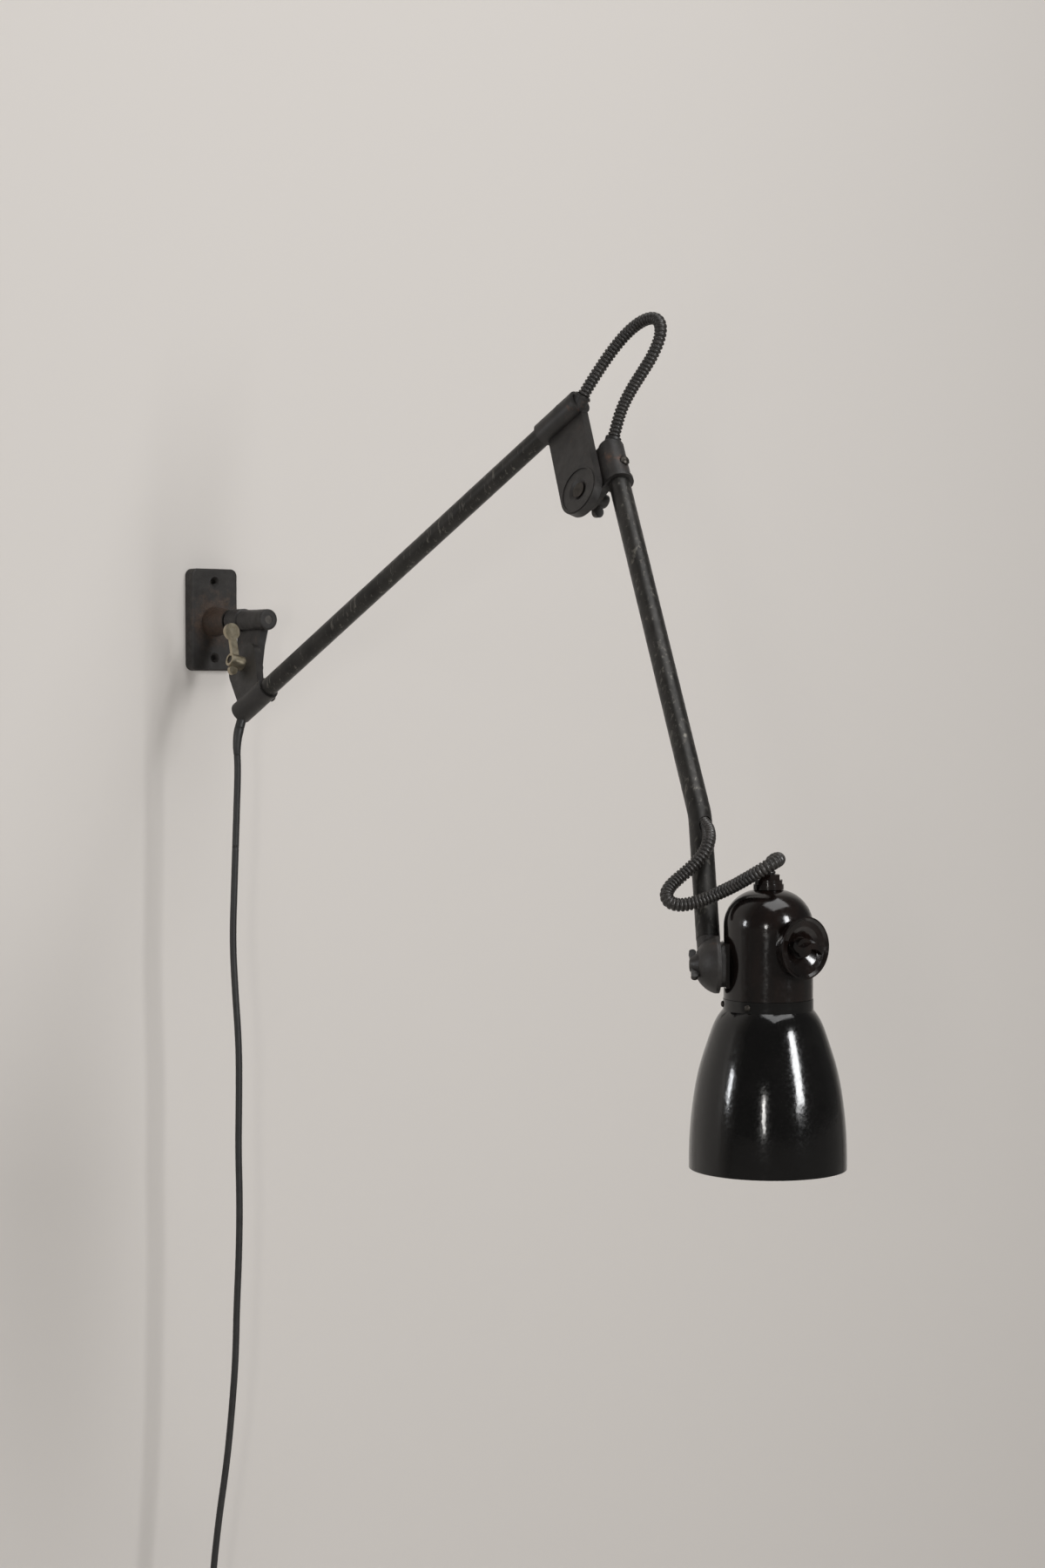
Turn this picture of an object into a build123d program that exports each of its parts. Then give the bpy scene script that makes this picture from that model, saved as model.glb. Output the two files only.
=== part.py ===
from build123d import *
import os
from math import cos, pi, radians, sin, sqrt, tan

# Articulating wall lamp: wall plate, two tube arms with screwed friction hinges, a moulded
# housing with a rotary switch, a belled shade, two ribbed conduits and a mains lead.
# Lengths are in millimetres. The origin is the centre of the wall plate's back face,
# +Y points into the wall and +Z is up, so the lamp stands out along -Y.

# Clearances
RUNNING_FIT = 0.05  # between a pin or bolt and its bore, on the radius
SEAT_GAP = 0.3  # between curved faces of pieces that move past each other
FACE_PLAY = 0.2  # between the knuckle's ends and what holds it

# Wall plate and pin
PLATE_WIDTH = 52.0
PLATE_HEIGHT = 102.0
PLATE_THICKNESS = 13.5
PLATE_CORNER = 7.0
PLATE_EDGE = 2.0
SCREW_SPACING = 76.0
SCREW_HOLE_RADIUS = 2.5
SCREW_SINK_RADIUS = 5.0
PIN_HEIGHT = -2.0
PIN_RADIUS = 7.0
PIN_STUB_RADIUS = 4.0
PIN_BACK = 3.0
BOSS_END = 46.5
BOSS_ROOT_RADIUS = 15.0
BOSS_TIP_RADIUS = 11.0
WASHER_RADIUS = 12.0
WASHER_THICKNESS = 2.0
KNUCKLE_LENGTH = 61.3
KNUCKLE_RADIUS = 10.25
KNUCKLE_COLLAR_RADIUS = 11.5
KNUCKLE_COLLAR_LENGTH = 23.0
CAP_RADIUS = 10.25
CAP_LENGTH = 7.8
CAP_EDGE = 2.5

# The plane of both arms leans away from upright about the pin
ARM_LEAN = 17.5
WEB = 8.0
FRICTION_WASHER = 1.0
HALF_STACK = FRICTION_WASHER / 2
WEB_FACE = HALF_STACK + WEB
BOLT_RADIUS = 4.0
BOLT_BORE = BOLT_RADIUS + RUNNING_FIT
BOLT_HEAD_RADIUS = 7.0
BOLT_HEAD_HEIGHT = 4.5
DISC_RADIUS = 22.0

# Wall hinge, seen square to the arms' plane: reach from the wall and drop below the pin
HINGE_REACH = 104.3
HINGE_DROP = 47.8
KNUCKLE_WEB_TOP_BACK = 62.0
KNUCKLE_WEB_TOP_FRONT = 106.0
KNUCKLE_WEB_HEEL = 17.5

WALL_NUT_LENGTH = 14.5
WALL_NUT_TURN = 100.0

# Lower arm
LOWER_ANGLE = 33.36
BUSH_RADIUS = 4.6
BUSH_START = 9.5
BUSH_END = 17.5
BUSH_SETBACK = -2.0
LOWER_SPAN = 481.2
SOCKET_DROP = 54.5
SLEEVE_RADIUS = 11.0
SOCKET_START = -7.5
SOCKET_END = 38.0
SOCKET_CLOSED_WALL = 3.5
LOWER_TUBE_RADIUS = 8.75
TUBE_WALL = 1.5
TUBE_IN_SLEEVE = 10.0
ELBOW_RISE = 83.8
ELBOW_SLEEVE_BACK = 28.3
ELBOW_SLEEVE_FRONT = 20.0
ELBOW_WEB_BACK = 24.5
ELBOW_WEB_FRONT = 19.5
RAISED_RING_RADIUS = 20.5
RAISED_RING_WIDTH = 1.4
RAISED_RING_HEIGHT = 0.7
DIMPLE_RADIUS = 11.0
DIMPLE_DEPTH = 2.0
WIRE_WAY_RADIUS = 6.5
ELBOW_NUT_LENGTH = 13.5
ELBOW_NUT_TURN = -90.0

# Upper arm
UPPER_ANGLE = -53.73
UPPER_OFFSET = 28.6
UPPER_SIDE = 12.0
UPPER_SLEEVE_TOP = 36.4
UPPER_SLEEVE_BOTTOM = 7.0
UPPER_LIP_RADIUS = 12.3
UPPER_LIP_LENGTH = 3.2
UPPER_WEB_TOP = 32.0
UPPER_WEB_BOTTOM = 13.0
UPPER_WEB_CORNER = 9.0
UPPER_TUBE_RADIUS = 9.0
UPPER_STRAIGHT = 355.0
UPPER_BEND = -11.47
UPPER_BEND_RADIUS = 60.0
UPPER_LOWER_PART = 104.0
SLOT_BELOW_BEND = 3.0
SLOT_RADIUS = 5.9
UPPER_TUBE_START = -30.0

# Round-headed screws: (distance along the arm, angle round it)
SCREW_HEAD_RADIUS = 4.4
SCREW_HEAD_HEIGHT = 3.4
SCREW_SHANK_RADIUS = 2.0
SCREW_DEPTH = 4.5
SCREW_BORE = SCREW_SHANK_RADIUS + RUNNING_FIT
SOCKET_SCREW = (28.0, -90.0)
ELBOW_SCREWS = ((-3.0, 0.0), (8.0, 255.0))
UPPER_SCREW = (-10.0, 0.0)

# Head hinge: a level bolt square to the upper arm's lower part
HEAD_HINGE_DROP = 20.8
HEAD_HINGE_SIDE = 6.8
KNOB_RADIUS = 21.3
KNOB_TIP_RADIUS = 10.6
KNOB_LENGTH = 16.0
KNOB_FLANGE = 3.4
KNOB_ROUNDING = 22.0
NECK_RADIUS = 8.7
NECK_LENGTH = 2.8
HEAD_NUT_LENGTH = 5.6
SPIGOT_LENGTH = 14.0
BRACKET_THICKNESS = 3.0
BRACKET_HEIGHT = 33.0
BRACKET_WIDTH = 26.0
BRACKET_CORNER = 10.0
BRACKET_END = HALF_STACK + BRACKET_THICKNESS

# Housing, measured down from the head hinge's level
HOUSING_RADIUS = 33.1
HOUSING_WALL = 3.5
HOUSING_TOP = 55.6
HOUSING_BOTTOM = 25.0
HOUSING_SHOULDER = 27.0
HOUSING_OFFSET = 36.7
GLAND_BASE_RADIUS = 11.3
GLAND_RING_RADIUS = 10.3
GLAND_NUT_RADIUS = 8.8
GLAND_BASE_HEIGHT = 4.0
GLAND_RING_HEIGHT = 3.2
GLAND_NUT_HEIGHT = 4.0
GLAND_BORE = 3.0
GLAND_TOP = HOUSING_TOP + GLAND_BASE_HEIGHT + GLAND_RING_HEIGHT + GLAND_NUT_HEIGHT

# Switch on the housing's front
SWITCH_LEVEL = 15.0
SWITCH_REACH = 41.0
SWITCH_BOSS_RADIUS = 17.5
DISH_RADIUS = 23.0
DISH_WALL = 1.2
KEY_LENGTH = 29.0
KEY_THICKNESS = 4.5
KEY_HEIGHT = 8.8
KEY_BASE_RADIUS = 7.0
KEY_BASE_HEIGHT = 3.8
SPINDLE_RADIUS = 3.0
SWITCH_SEAT = SWITCH_REACH - 3.0
DISH_BODY = 4.5
DISH_BODY_RADIUS = 17.0
KEY_TURN = -15.0
KEY_BOW = 3.0
SWITCH_BLOCK_BACK = 12.0
SWITCH_BLOCK_RADIUS = 13.0

# Shade, lamp holder and bulb
COLLAR_RADIUS = 33.5
COLLAR_END = 33.5
COLLAR_SCREW_LEVEL = 29.3
COLLAR_SCREW_ANGLES = (215.0, 272.0, 60.0)
SHADE_WALL = 1.2
SHADE_CURVE = ((38.0, 37.0), (53.5, 43.7), (76.8, 51.0), (100.0, 55.4), (123.2, 57.8))
RING_RADIUS = 32.1
RING_SPIGOT_RADIUS = 29.4
RING_BORE = 27.5
BRIDGE_TOP = 8.0
BRIDGE_THICKNESS = 4.0
SHADE_RIM_RADIUS = 58.5
SHADE_RIM_DEPTH = 150.8
SHADE_BEAD_RADIUS = 1.2
HOLDER_RADIUS = 19.0
HOLDER_END = 44.0
HOLDER_FLOOR = 13.0
CAP_TOP = 17.0
CAP_END = 43.0
THREAD_RADIUS = 13.5
BULB_RADIUS = 30.0
BULB_CENTRE = 82.0
BULB_SHOULDER_ANGLE = 50.0
BULB_NECK_RADIUS = 12.4
GLASS_WALL = 1.0

# Ribbed conduits
CONDUIT_BORE_RADIUS = 3.6
ELBOW_CONDUIT_RADIUS = 5.4
ELBOW_CONDUIT_RIBS = 68
HEAD_CONDUIT_RADIUS = 5.2
HEAD_CONDUIT_RIBS = 76
RIB_DEPTH = 0.9
RIB_PROFILE = ((0.0, 0.0), (0.3, 0.0), (0.45, RIB_DEPTH), (0.85, RIB_DEPTH))
HOSE_SOCKET = 6.0
FERRULE_TURN = 30.0
FERRULE_RADIUS = 6.8
FERRULE_LENGTH = 6.5
UPPER_FERRULE_TURN = 143.7
UPPER_FERRULE_SETBACK = 34.0
UPPER_FERRULE_LENGTH = 9.5
SLOT_RUN = 17.0
CONDUIT_RISE = 3.0

# Mains lead
CORD_DIAMETER = 6.5
COIL_OUTER = 38.0
COIL_STEP = 7.0
COIL_INWARD_HALVES = 4
COIL_CENTRE_HEIGHT = -985.0
TAIL_LENGTH = 44.0
PLUG_WIDTH = 35.0
PLUG_THICKNESS = 14.0
PLUG_LENGTH = 37.0
PLUG_PIN_RADIUS = 2.0
PLUG_PIN_LENGTH = 19.0
PLUG_PIN_SPACING = 19.0

BUSH_LEAN = 12.0
COIL_HALVES = 10
TIE_SLACK = 1.2
TIE_WALL = 1.5
TIE_HEIGHT = 12.0

# Places chosen on the conduits' and the cord's routes. The elbow loop is given in the arms'
# plane (from the wall, up, towards the front), the head loop from the head hinge (along
# the bolt, away from the front, up) and the cord in the lamp's own frame.
ELBOW_LOOP = (
    (568.3, 216.0, 5.8), (576.7, 230.1, 4.4), (587.3, 243.4, 3.0), (599.6, 252.0, 1.7),
    (611.2, 255.6, 0.3), (620.6, 253.6, -1.1), (626.2, 246.6, -2.4), (626.2, 235.8, -3.8),
    (619.9, 221.4, -5.2), (608.5, 207.2, -6.5), (597.2, 193.0, -7.9), (588.8, 177.1, -9.6),
)
HEAD_LOOP = (
    (-2.9, 34.6, 92.0), (-4.8, 30.1, 86.0), (-8.9, 27.2, 79.0), (-17.0, 25.8, 70.8),
    (-26.9, 24.6, 62.6), (-34.0, 21.6, 56.8), (-37.9, 17.0, 50.6), (-35.6, 12.2, 45.0),
    (-28.0, 8.4, 43.1), (-16.4, 5.4, 45.6), (-7.0, 2.4, 49.6), (2.0, -2.2, 54.2),
    (10.6, -8.2, 59.1), (20.0, -15.6, 65.5), (29.2, -21.0, 71.8), (36.6, -20.6, 76.0),
    (41.8, -15.8, 78.2), (42.6, -9.4, 78.8), (40.2, -4.2, 77.6), (37.6, -1.0, 74.4),
)
LEAD_SPOTS = ((-43.3, -131.9, -143.3), (-44.3, -130.9, -183.0), (-45.2, -129.9, -221.0))
CORD_SPOTS = (
    (-46.1, -128.9, -259.0), (-47.4, -127.6, -311.0), (-46.0, -129.4, -358.0),
    (-43.5, -132.2, -412.0), (-43.9, -132.7, -463.0), (-44.9, -132.7, -513.0),
    (-43.8, -133.2, -564.0), (-44.4, -132.3, -618.0), (-46.1, -130.7, -666.0),
    (-46.9, -129.6, -717.0), (-49.4, -126.3, -768.0), (-52.8, -122.2, -819.0),
    (-57.8, -115.9, -871.0), (-61.8, -112.2, -918.0), (-63.6, -110.8, -950.0),
)

os.makedirs("parts", exist_ok=True)


def save(builder, name):
    """Label a finished sub-part and write it to its own file."""
    builder.part.label = name
    export_step(builder.part, f"parts/{name}.step")


def moved(plane, x=0.0, y=0.0, z=0.0, turn=0.0):
    """The plane moved along its own directions, then turned about its normal."""
    return Plane(plane.location * Location((x, y, z), (0, 0, turn)))


def across(plane, x=0.0):
    """The plane square to another plane's x direction, at x."""
    return Plane(origin=moved(plane, x).origin, x_dir=plane.y_dir, z_dir=plane.x_dir)


def along_normal(plane, turn=0.0, down=False):
    """A plane whose x direction is the other plane's normal, or its opposite."""
    side = moved(plane, turn=turn)
    x_dir = -side.z_dir if down else side.z_dir
    return Plane(origin=side.origin, x_dir=x_dir, z_dir=x_dir.cross(side.x_dir))


def bar(plane, start, end, radius, mode=Mode.ADD):
    """A round bar, or a round hole, along the plane's x direction."""
    with BuildSketch(across(plane, start)) as section:
        Circle(radius)
    extrude(section.sketch, amount=end - start, mode=mode)


def turned(plane, outline, mode=Mode.ADD):
    """A solid turned about the plane's x direction from (x, radius) points."""
    with BuildSketch(plane) as half:
        with BuildLine():
            Polyline(*outline, close=True)
        make_face()
    revolve(half.sketch, axis=Axis(plane.origin, plane.x_dir), mode=mode)


def slab(plane, corners, thickness, corner_radius=0.0, mode=Mode.ADD):
    """A flat piece with the given corners, from the plane along its normal."""
    with BuildSketch(plane) as outline:
        with BuildLine():
            Polyline(*corners, close=True)
        make_face()
        if corner_radius:
            fillet(outline.vertices(), corner_radius)
    extrude(outline.sketch, amount=thickness, mode=mode)


def web(plane, disc_centre, disc_radius, foot, thickness):
    """A flat web from a round end to a straight foot given by two points."""
    with BuildSketch(plane) as outline:
        with Locations(disc_centre):
            Circle(disc_radius)
        with BuildLine():
            Polyline(foot[0], foot[1], disc_centre, close=True)
        make_face()
        make_hull()
    extrude(outline.sketch, amount=thickness)


def radial(plane, x, angle):
    """A plane on another plane's x line, with its x direction outwards at an angle from y."""
    outwards = plane.y_dir * cos(radians(angle)) + plane.z_dir * sin(radians(angle))
    return Plane(origin=moved(plane, x).origin, x_dir=outwards, z_dir=plane.x_dir)


def round_screw(plane, seat, depth, head_radius, head_height, shank_radius):
    """A screw along the plane's x direction, with its domed head outside the seat."""
    rim = seat + head_height * 0.4
    turned(plane, [(seat + head_height, 0), (seat - depth, 0), (seat - depth, shank_radius),
                   (seat, shank_radius), (seat, head_radius), (rim, head_radius),
                   (seat + head_height * 0.8, head_radius * 0.7), (seat + head_height, head_radius * 0.3)])


def wing_nut(plane, root_radius, tip_radius, length, wing_thickness, wings):
    """A nut on the plane's x direction; each wing is (reach, sweep, lobe radius, stem radius)."""
    turned(plane, [(0, 0), (0, root_radius), (length, tip_radius), (length, 0)])
    for reach, sweep, lobe_radius, stem_radius in wings:
        with BuildSketch(plane) as stem:
            with Locations((length / 2, 0), (sweep, reach)):
                Circle(stem_radius)
            make_hull()
        extrude(stem.sketch, amount=wing_thickness / 2, both=True)
        with BuildSketch(plane) as lobe:
            with Locations((sweep, reach)):
                Circle(lobe_radius)
        extrude(lobe.sketch, amount=wing_thickness / 2, both=True)
    bar(plane, -1, length + 1, BOLT_BORE, mode=Mode.SUBTRACT)


def ribbed_hose(route, ribs, radius, side):
    """A hose with its bore and ribs along a route; side is the first circle's x direction."""
    outer = []
    inner = []
    root_radius = radius - RIB_DEPTH
    for rib in range(ribs):
        for part_of_rib, circle_radius in RIB_PROFILE:
            plane = hose_plane(route, (rib + part_of_rib) / ribs, side)
            side = plane.x_dir
            outer.append(plane * Circle(root_radius + circle_radius).face())
            if part_of_rib == 0:
                inner.append(plane * Circle(CONDUIT_BORE_RADIUS).face())
    plane = hose_plane(route, 1.0, side)
    outer.append(plane * Circle(root_radius).face())
    inner.append(plane * Circle(CONDUIT_BORE_RADIUS).face())
    return loft(outer, ruled=True) - loft(inner, ruled=True)


def hose_plane(route, spot, side):
    """The plane square to the route at a share of its length, turned as little as can be."""
    tangent = route.tangent_at(spot)
    x_dir = side - tangent * side.dot(tangent)
    return Plane(origin=route.position_at(spot), x_dir=x_dir, z_dir=tangent)


def corner_radii(points):
    """Radii that leave each corner of a cord's route as round as its runs allow."""
    radii = []
    for before, corner, after in zip(points, points[1:], points[2:]):
        back = Vector(*corner) - Vector(*before)
        ahead = Vector(*after) - Vector(*corner)
        half_turn = radians(back.get_angle(ahead)) / 2
        radii.append(0.45 * min(back.length, ahead.length) / tan(half_turn))
    return radii


def cord_tube(name, points):
    """A cord's free stretch: straight runs joined by tangent arcs."""
    radii = corner_radii(points)
    with BuildPart() as cord:
        with BuildLine() as route:
            FilletPolyline(*points, radius=radii)
        path = route.wire()
        with BuildSketch(Plane(origin=path @ 0, z_dir=path % 0)):
            Circle(CORD_DIAMETER / 2)
        sweep(path=path)
    expected = pi * (CORD_DIAMETER / 2) ** 2 * path.length
    print(name, "radii", [round(radius) for radius in radii], "length", round(path.length, 1),
          "volume ratio", round(cord.part.volume / expected, 4))
    save(cord, name)


# ---------------------------------------------------------------- planes of the assembly

lean = radians(ARM_LEAN)
arms = Plane(origin=(0, 0, PIN_HEIGHT), x_dir=(0, -1, 0), z_dir=(-cos(lean), 0, sin(lean)))
wall_hinge = moved(arms, HINGE_REACH, -HINGE_DROP, turn=LOWER_ANGLE)
lower_arm = moved(wall_hinge, 0, -SOCKET_DROP, WEB_FACE)
elbow = moved(wall_hinge, LOWER_SPAN, -SOCKET_DROP - ELBOW_RISE)
upper_arm = moved(moved(elbow, turn=UPPER_ANGLE - LOWER_ANGLE), 0, UPPER_OFFSET, -UPPER_SIDE)
upper_hinge = moved(upper_arm, 0, -UPPER_OFFSET, UPPER_SIDE)
tube_foot = moved(moved(upper_arm, UPPER_STRAIGHT, turn=UPPER_BEND), UPPER_LOWER_PART)

UP = Vector(0, 0, 1)
bolt_way = UP.cross(tube_foot.x_dir).normalized()
hinge_point = tube_foot.origin + tube_foot.x_dir * HEAD_HINGE_DROP + bolt_way * HEAD_HINGE_SIDE
head_bolt = Plane(origin=hinge_point, x_dir=bolt_way, z_dir=bolt_way.cross(UP))
head_axis = Plane(origin=hinge_point + bolt_way * HOUSING_OFFSET, x_dir=-UP, z_dir=bolt_way)
switch_axis = Plane(
    origin=head_axis.origin + UP * SWITCH_LEVEL, x_dir=(0, -1, 0), z_dir=(0, 0, 1)
)

head_frame = Plane(origin=hinge_point, x_dir=bolt_way, z_dir=UP)
slot_middle = moved(tube_foot, -UPPER_LOWER_PART + SLOT_BELOW_BEND).origin
slot_way = head_frame.y_dir * -0.862 + bolt_way * 0.264 - UP * 0.437
slot_line = Plane(origin=slot_middle, x_dir=slot_way, z_dir=slot_way.cross(UP))
bush_way = Vector(-sin(radians(BUSH_LEAN)), 0, -cos(radians(BUSH_LEAN)))
bush_line = Plane(origin=moved(lower_arm, BUSH_SETBACK).origin, x_dir=bush_way, z_dir=arms.z_dir)
ferrule_line = moved(lower_arm, LOWER_SPAN + ELBOW_SLEEVE_FRONT, turn=FERRULE_TURN)
upper_ferrule_line = moved(upper_arm, -UPPER_FERRULE_SETBACK, turn=UPPER_FERRULE_TURN)
coil_entry = Vector(-63.6, -110.8, COIL_CENTRE_HEIGHT + CORD_DIAMETER)
lower_screw_lines = [radial(lower_arm, *SOCKET_SCREW)]
lower_screw_lines += [radial(lower_arm, LOWER_SPAN + along, angle) for along, angle in ELBOW_SCREWS]
upper_screw_line = radial(upper_arm, *UPPER_SCREW)


def head_spot(bolt_side, away, height):
    """A place given from the head hinge: along its bolt, away from the front, and up."""
    return moved(head_frame, bolt_side, away, height).origin


# ---------------------------------------------------------------- wall plate and pin

knuckle_start = BOSS_END + WASHER_THICKNESS + FACE_PLAY
knuckle_end = knuckle_start + KNUCKLE_LENGTH
cap_start = knuckle_end + FACE_PLAY

with BuildPart() as wall_plate:
    with BuildSketch(Plane.XZ):
        RectangleRounded(PLATE_WIDTH, PLATE_HEIGHT, PLATE_CORNER)
    extrude(amount=PLATE_THICKNESS)
    fillet(wall_plate.faces().sort_by(Axis.Y)[0].edges(), PLATE_EDGE)
    turned(arms, [(PLATE_THICKNESS - 1, 0), (PLATE_THICKNESS - 1, BOSS_ROOT_RADIUS),
                  (BOSS_END, BOSS_TIP_RADIUS), (BOSS_END, 0)])
    bar(arms, PIN_BACK, BOSS_END, PIN_RADIUS + RUNNING_FIT, mode=Mode.SUBTRACT)
    with Locations(Plane.XZ.offset(PLATE_THICKNESS)):
        with GridLocations(0, SCREW_SPACING, 1, 2):
            CounterSinkHole(SCREW_HOLE_RADIUS, SCREW_SINK_RADIUS)
save(wall_plate, "wall_plate")

with BuildPart() as wall_pin:
    bar(arms, PIN_BACK, knuckle_end, PIN_RADIUS)
    bar(arms, knuckle_end, cap_start + CAP_LENGTH - 0.5, PIN_STUB_RADIUS)
save(wall_pin, "wall_pin")

with BuildPart() as pin_washer:
    bar(arms, BOSS_END, BOSS_END + WASHER_THICKNESS, WASHER_RADIUS)
    bar(arms, BOSS_END, BOSS_END + WASHER_THICKNESS, PIN_RADIUS + RUNNING_FIT, mode=Mode.SUBTRACT)
save(pin_washer, "pin_washer")

with BuildPart() as pin_cap:
    bar(arms, cap_start, cap_start + CAP_LENGTH, CAP_RADIUS)
    fillet(pin_cap.edges().filter_by(GeomType.CIRCLE).sort_by(Axis.Y)[0], CAP_EDGE)
    bar(arms, cap_start, cap_start + CAP_LENGTH, PIN_STUB_RADIUS + RUNNING_FIT, mode=Mode.SUBTRACT)
save(pin_cap, "pin_cap")

with BuildPart() as wall_knuckle:
    collar_end = knuckle_start + KNUCKLE_COLLAR_LENGTH
    turned(arms, [(knuckle_start, 0), (knuckle_start, KNUCKLE_RADIUS),
                  (knuckle_start + 2, KNUCKLE_COLLAR_RADIUS), (collar_end, KNUCKLE_COLLAR_RADIUS),
                  (collar_end + 1, KNUCKLE_RADIUS), (knuckle_end, KNUCKLE_RADIUS), (knuckle_end, 0)])
    slab(moved(arms, z=-WEB_FACE),
         [(KNUCKLE_WEB_TOP_BACK, 0), (KNUCKLE_WEB_TOP_BACK, -KNUCKLE_RADIUS),
          (HINGE_REACH - KNUCKLE_WEB_HEEL * 1.45, -HINGE_DROP + 4),
          (HINGE_REACH - KNUCKLE_WEB_HEEL, -HINGE_DROP - KNUCKLE_WEB_HEEL * 0.8),
          (HINGE_REACH + 4, -HINGE_DROP - KNUCKLE_WEB_HEEL),
          (HINGE_REACH + 13, -HINGE_DROP - 4),
          (KNUCKLE_WEB_TOP_FRONT + 3, -HINGE_DROP * 0.5),
          (KNUCKLE_WEB_TOP_FRONT, 0)], WEB)
    bar(arms, knuckle_start, knuckle_end, PIN_RADIUS + RUNNING_FIT, mode=Mode.SUBTRACT)
    bar(along_normal(wall_hinge), -WEB_FACE, 0, BOLT_RADIUS, mode=Mode.SUBTRACT)
save(wall_knuckle, "wall_knuckle")

# ---------------------------------------------------------------- wall hinge

with BuildPart() as wall_hinge_bolt:
    bolt_line = along_normal(wall_hinge)
    bar(bolt_line, -WEB_FACE - BOLT_HEAD_HEIGHT, -WEB_FACE, BOLT_HEAD_RADIUS)
    fillet(wall_hinge_bolt.edges().group_by(Axis(bolt_line.origin, bolt_line.x_dir))[0], 2)
    bar(bolt_line, -WEB_FACE, WEB_FACE + WALL_NUT_LENGTH - 1, BOLT_RADIUS)
save(wall_hinge_bolt, "wall_hinge_bolt")

with BuildPart() as wall_friction_washer:
    bar(along_normal(wall_hinge), -HALF_STACK, HALF_STACK, KNUCKLE_WEB_HEEL - 5)
    bar(along_normal(wall_hinge), -HALF_STACK, HALF_STACK, BOLT_BORE, mode=Mode.SUBTRACT)
save(wall_friction_washer, "wall_friction_washer")

with BuildPart() as wall_wing_nut:
    nut_line = along_normal(moved(wall_hinge, z=WEB_FACE), turn=WALL_NUT_TURN - LOWER_ANGLE)
    wing_nut(nut_line, 7.2, 6.2, WALL_NUT_LENGTH, 4.0, [(27.5, 17.5, 8.2, 3.6), (-9.5, 9.0, 4.5, 3.6)])
save(wall_wing_nut, "wall_wing_nut")

# ---------------------------------------------------------------- lower arm

with BuildPart() as lower_socket:
    bar(lower_arm, SOCKET_START, SOCKET_END, SLEEVE_RADIUS)
    web(moved(wall_hinge, z=HALF_STACK), (0, 0), DISC_RADIUS,
        [(SOCKET_START, -SOCKET_DROP), (DISC_RADIUS, -SOCKET_DROP)], WEB)
    bar(lower_arm, SOCKET_START + SOCKET_CLOSED_WALL, SOCKET_END, LOWER_TUBE_RADIUS + RUNNING_FIT,
        mode=Mode.SUBTRACT)
    bar(along_normal(wall_hinge), 0, WEB_FACE, BOLT_BORE, mode=Mode.SUBTRACT)
    bar(bush_line, 5, BUSH_END, BUSH_RADIUS + RUNNING_FIT, mode=Mode.SUBTRACT)
    bar(lower_screw_lines[0], 0, SLEEVE_RADIUS, SCREW_BORE, mode=Mode.SUBTRACT)
save(lower_socket, "lower_socket")

with BuildPart() as cord_bush:
    bar(bush_line, BUSH_START, BUSH_END, BUSH_RADIUS)
    bar(bush_line, BUSH_START, BUSH_END, CORD_DIAMETER / 2 - 0.6, mode=Mode.SUBTRACT)
save(cord_bush, "cord_bush")

with BuildPart() as lower_tube:
    tube_start = SOCKET_START + SOCKET_CLOSED_WALL
    tube_end = LOWER_SPAN + TUBE_IN_SLEEVE
    bar(lower_arm, tube_start, tube_end, LOWER_TUBE_RADIUS)
    bar(lower_arm, tube_start, tube_end, LOWER_TUBE_RADIUS - TUBE_WALL, mode=Mode.SUBTRACT)
    bar(bush_line, 4, BUSH_END, BUSH_RADIUS + RUNNING_FIT, mode=Mode.SUBTRACT)
    for screw_line in lower_screw_lines:
        bar(screw_line, 0, SLEEVE_RADIUS, SCREW_BORE, mode=Mode.SUBTRACT)
save(lower_tube, "lower_tube")

with BuildPart() as lower_socket_screw:
    round_screw(lower_screw_lines[0], SLEEVE_RADIUS, SCREW_DEPTH, SCREW_HEAD_RADIUS,
                SCREW_HEAD_HEIGHT, SCREW_SHANK_RADIUS)
save(lower_socket_screw, "lower_socket_screw")

with BuildPart() as elbow_lower_casting:
    bar(lower_arm, LOWER_SPAN - ELBOW_SLEEVE_BACK, LOWER_SPAN + ELBOW_SLEEVE_FRONT, SLEEVE_RADIUS)
    web(moved(elbow, z=HALF_STACK), (0, 0), DISC_RADIUS,
        [(-ELBOW_WEB_BACK, ELBOW_RISE), (ELBOW_WEB_FRONT, ELBOW_RISE)], WEB)
    bar(along_normal(elbow), WEB_FACE, WEB_FACE + RAISED_RING_HEIGHT, RAISED_RING_RADIUS)
    bar(along_normal(elbow), WEB_FACE, WEB_FACE + RAISED_RING_HEIGHT,
        RAISED_RING_RADIUS - RAISED_RING_WIDTH, mode=Mode.SUBTRACT)
    turned(along_normal(elbow), [(WEB_FACE - DIMPLE_DEPTH, 0), (WEB_FACE - DIMPLE_DEPTH, BOLT_HEAD_RADIUS),
                                 (WEB_FACE, DIMPLE_RADIUS), (WEB_FACE, 0)], mode=Mode.SUBTRACT)
    bar(along_normal(elbow), 0, WEB_FACE, BOLT_BORE, mode=Mode.SUBTRACT)
    bar(lower_arm, LOWER_SPAN - ELBOW_SLEEVE_BACK, LOWER_SPAN + TUBE_IN_SLEEVE,
        LOWER_TUBE_RADIUS + RUNNING_FIT, mode=Mode.SUBTRACT)
    bar(lower_arm, LOWER_SPAN, LOWER_SPAN + ELBOW_SLEEVE_FRONT, WIRE_WAY_RADIUS, mode=Mode.SUBTRACT)
    for screw_line in lower_screw_lines[1:]:
        bar(screw_line, 0, SLEEVE_RADIUS, SCREW_BORE, mode=Mode.SUBTRACT)
save(elbow_lower_casting, "elbow_lower_casting")

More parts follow.
